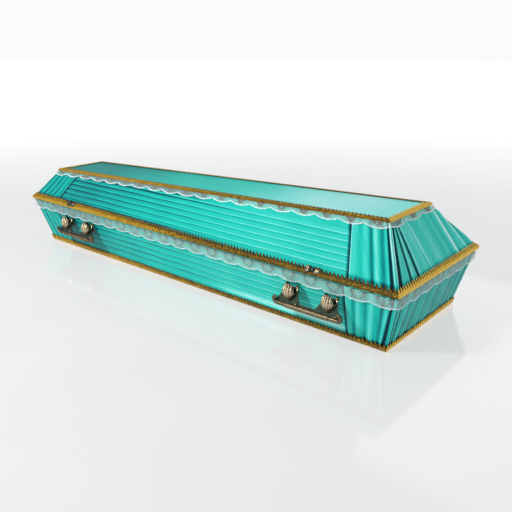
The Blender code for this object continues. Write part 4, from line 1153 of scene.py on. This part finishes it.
def bowPart():
    angle = 2 * math.pi * np.arange(bow["spokes"]) / bow["spokes"]
    waist = bow["waist"] / 2
    reach = waist + (bow["length"] / 2 - waist) * np.abs(np.cos(angle)) ** 2.4
    side = np.abs(np.cos(angle)) ** 2
    points, shades = [], []
    for share in np.linspace(1, 0.02, bow["rows"]):
        r = reach * share
        # each loop is a dished lobe with a raised rim and three veins
        rim = hump(share, 0.86, 0.10)
        dish = hump(share, 0.52, 0.24)
        vein = np.cos(9 * angle) * hump(share, 0.60, 0.25) * side
        knob = smooth(0.0085 - r, 0.0, 0.005)
        z = bow["edge"] + (bow["lobe"] - bow["edge"]) * (0.55 * rim + side * dish) + 0.0007 * vein
        z = z + (bow["boss"] - bow["lobe"] * 0.6) * knob
        if share == 1:
            z = np.zeros_like(angle)
        points.append(np.stack((r * np.cos(angle), r * np.sin(angle), z), -1))
        # painted light: the lobes, their rims and veins are drawn lighter, and a dark ring round the boss is
        # painted shade
        shades.append(0.20 + 0.50 * dish * side + 0.16 * rim + 0.20 * vein
                      - 0.45 * hump(r, 0.0100, 0.0040) + 0.10 * knob)
    faces = gridFaces(bow["rows"], bow["spokes"], closed=True)
    last = bow["rows"] * bow["spokes"]
    tip = np.array([[0, 0, points[-1][:, 2].mean()]])
    faces += [[last - bow["spokes"] + i, last - bow["spokes"] + (i + 1) % bow["spokes"], last]
              for i in range(bow["spokes"])]
    points = np.concatenate((np.array(points).reshape(-1, 3), tip))
    return points, faces, np.append(np.array(shades).ravel(), 0.7)


mountCastings("bronze_bow", "lid_casting", bowPart(), lidWalls, bow,
              lidWide + pleats["overBraid"]["lid"] - bow["underEdge"], trimFace + 0.0025 + coffin["gap"])
print("bows made")

# Floor, light and camera.

studio = {
    "floorSize": 40.0, "floorGlow": 0.62, "world": 0.97,
    # power in watts, size in metres, place, and the spot that the lamp points at
    "lamps": {"key": (112.0, 0.6, (-0.9, -2.8, 2.5), (0.3, 0.0, 0.1)),
              "side": (22.0, 1.6, (3.4, 0.6, 1.9), (0.9, 0.0, 0.2)),
              "back": (10.0, 2.0, (0.2, 3.2, 2.0), (0.2, 0.0, 0.3))},
}


def floorMaterial():
    # Pale painted studio floor, smooth enough for a soft reflection, and glowing with painted light that lifts
    # the shadows on it.
    made, tree = newMaterial("paleStudioFloor", {
        "Roughness": 0.09, "IOR": 1.5, "Emission Strength": studio["floorGlow"]})
    place = addNode(tree, "TexCoord", "Object")
    cloudy = addNode(tree, "TexNoise", "Fac", {"Scale": 2.0, "Detail": 3.0}, {"Vector": place})
    colour = addNode(tree, "ValToRGB", "Color", {"stops": [(0.3, "#868686"), (0.7, "#8c8c8c")]},
                     {"Fac": cloudy})
    # painted light: the floor glows as if lit from below, brighter away from the coffin
    reach = addNode(tree, "VectorMath", "Value", {"operation": "LENGTH"}, {0: place})
    glow = addNode(tree, "MapRange", "Result", {
        "From Min": 1.2, "From Max": 4.5, "To Min": 0.90, "To Max": 0.94}, {"Value": reach})
    return finished(made, {"Base Color": colour, "Emission Color": glow})


def makeStudio():
    mesh = bpy.data.meshes.new("floor")
    s, z = studio["floorSize"], -0.0002
    mesh.from_pydata([(-s, -s, z), (s, -s, z), (s, s, z), (-s, s, z)], [], [(0, 1, 2, 3)])
    floor = bpy.data.objects.new("floor", mesh)
    bpy.context.scene.collection.objects.link(floor)
    mesh.materials.append(floorMaterial())
    world = bpy.data.worlds.new("studio")
    world.use_nodes = True
    tree = world.node_tree
    # bright round the horizon and dimmer overhead, like a white cove
    place = addNode(tree, "TexCoord", "Generated")
    height = addNode(tree, "SeparateXYZ", "Z", {}, {"Vector": place})
    cove = addNode(tree, "ValToRGB", "Color", {"stops": [
        (0.0, "#ffffff"), (0.08, "#ffffff"), (0.22, "#a4a6a8"), (1.0, "#9a9ca0")]}, {"Fac": height})
    tree.links.new(cove, tree.nodes["Background"].inputs["Color"])
    tree.nodes["Background"].inputs["Strength"].default_value = studio["world"]
    bpy.context.scene.world = world
    for name, (power, size, place, target) in studio["lamps"].items():
        data = bpy.data.lights.new(name, "AREA")
        data.energy, data.size = power, size
        lamp = bpy.data.objects.new(name, data)
        lamp.location = place
        lamp.rotation_euler = (Vector(target) - Vector(place)).to_track_quat("-Z", "Y").to_euler()
        bpy.context.scene.collection.objects.link(lamp)
    bpy.context.scene.view_settings.view_transform = "Standard"


makeStudio()

view = {"eye": (1.7411, -1.8947, 0.907), "yaw": 38.978, "pitch": 18.348, "lens": 44.117, "sensor": 36.0}
data = bpy.data.cameras.new("camera")
data.lens, data.sensor_width = view["lens"], view["sensor"]
camera = bpy.data.objects.new("camera", data)
camera.location = view["eye"]
camera.rotation_euler = (math.radians(90 - view["pitch"]), 0.0, math.radians(view["yaw"]))
bpy.context.scene.collection.objects.link(camera)
bpy.context.scene.camera = camera
print("studio and camera made")
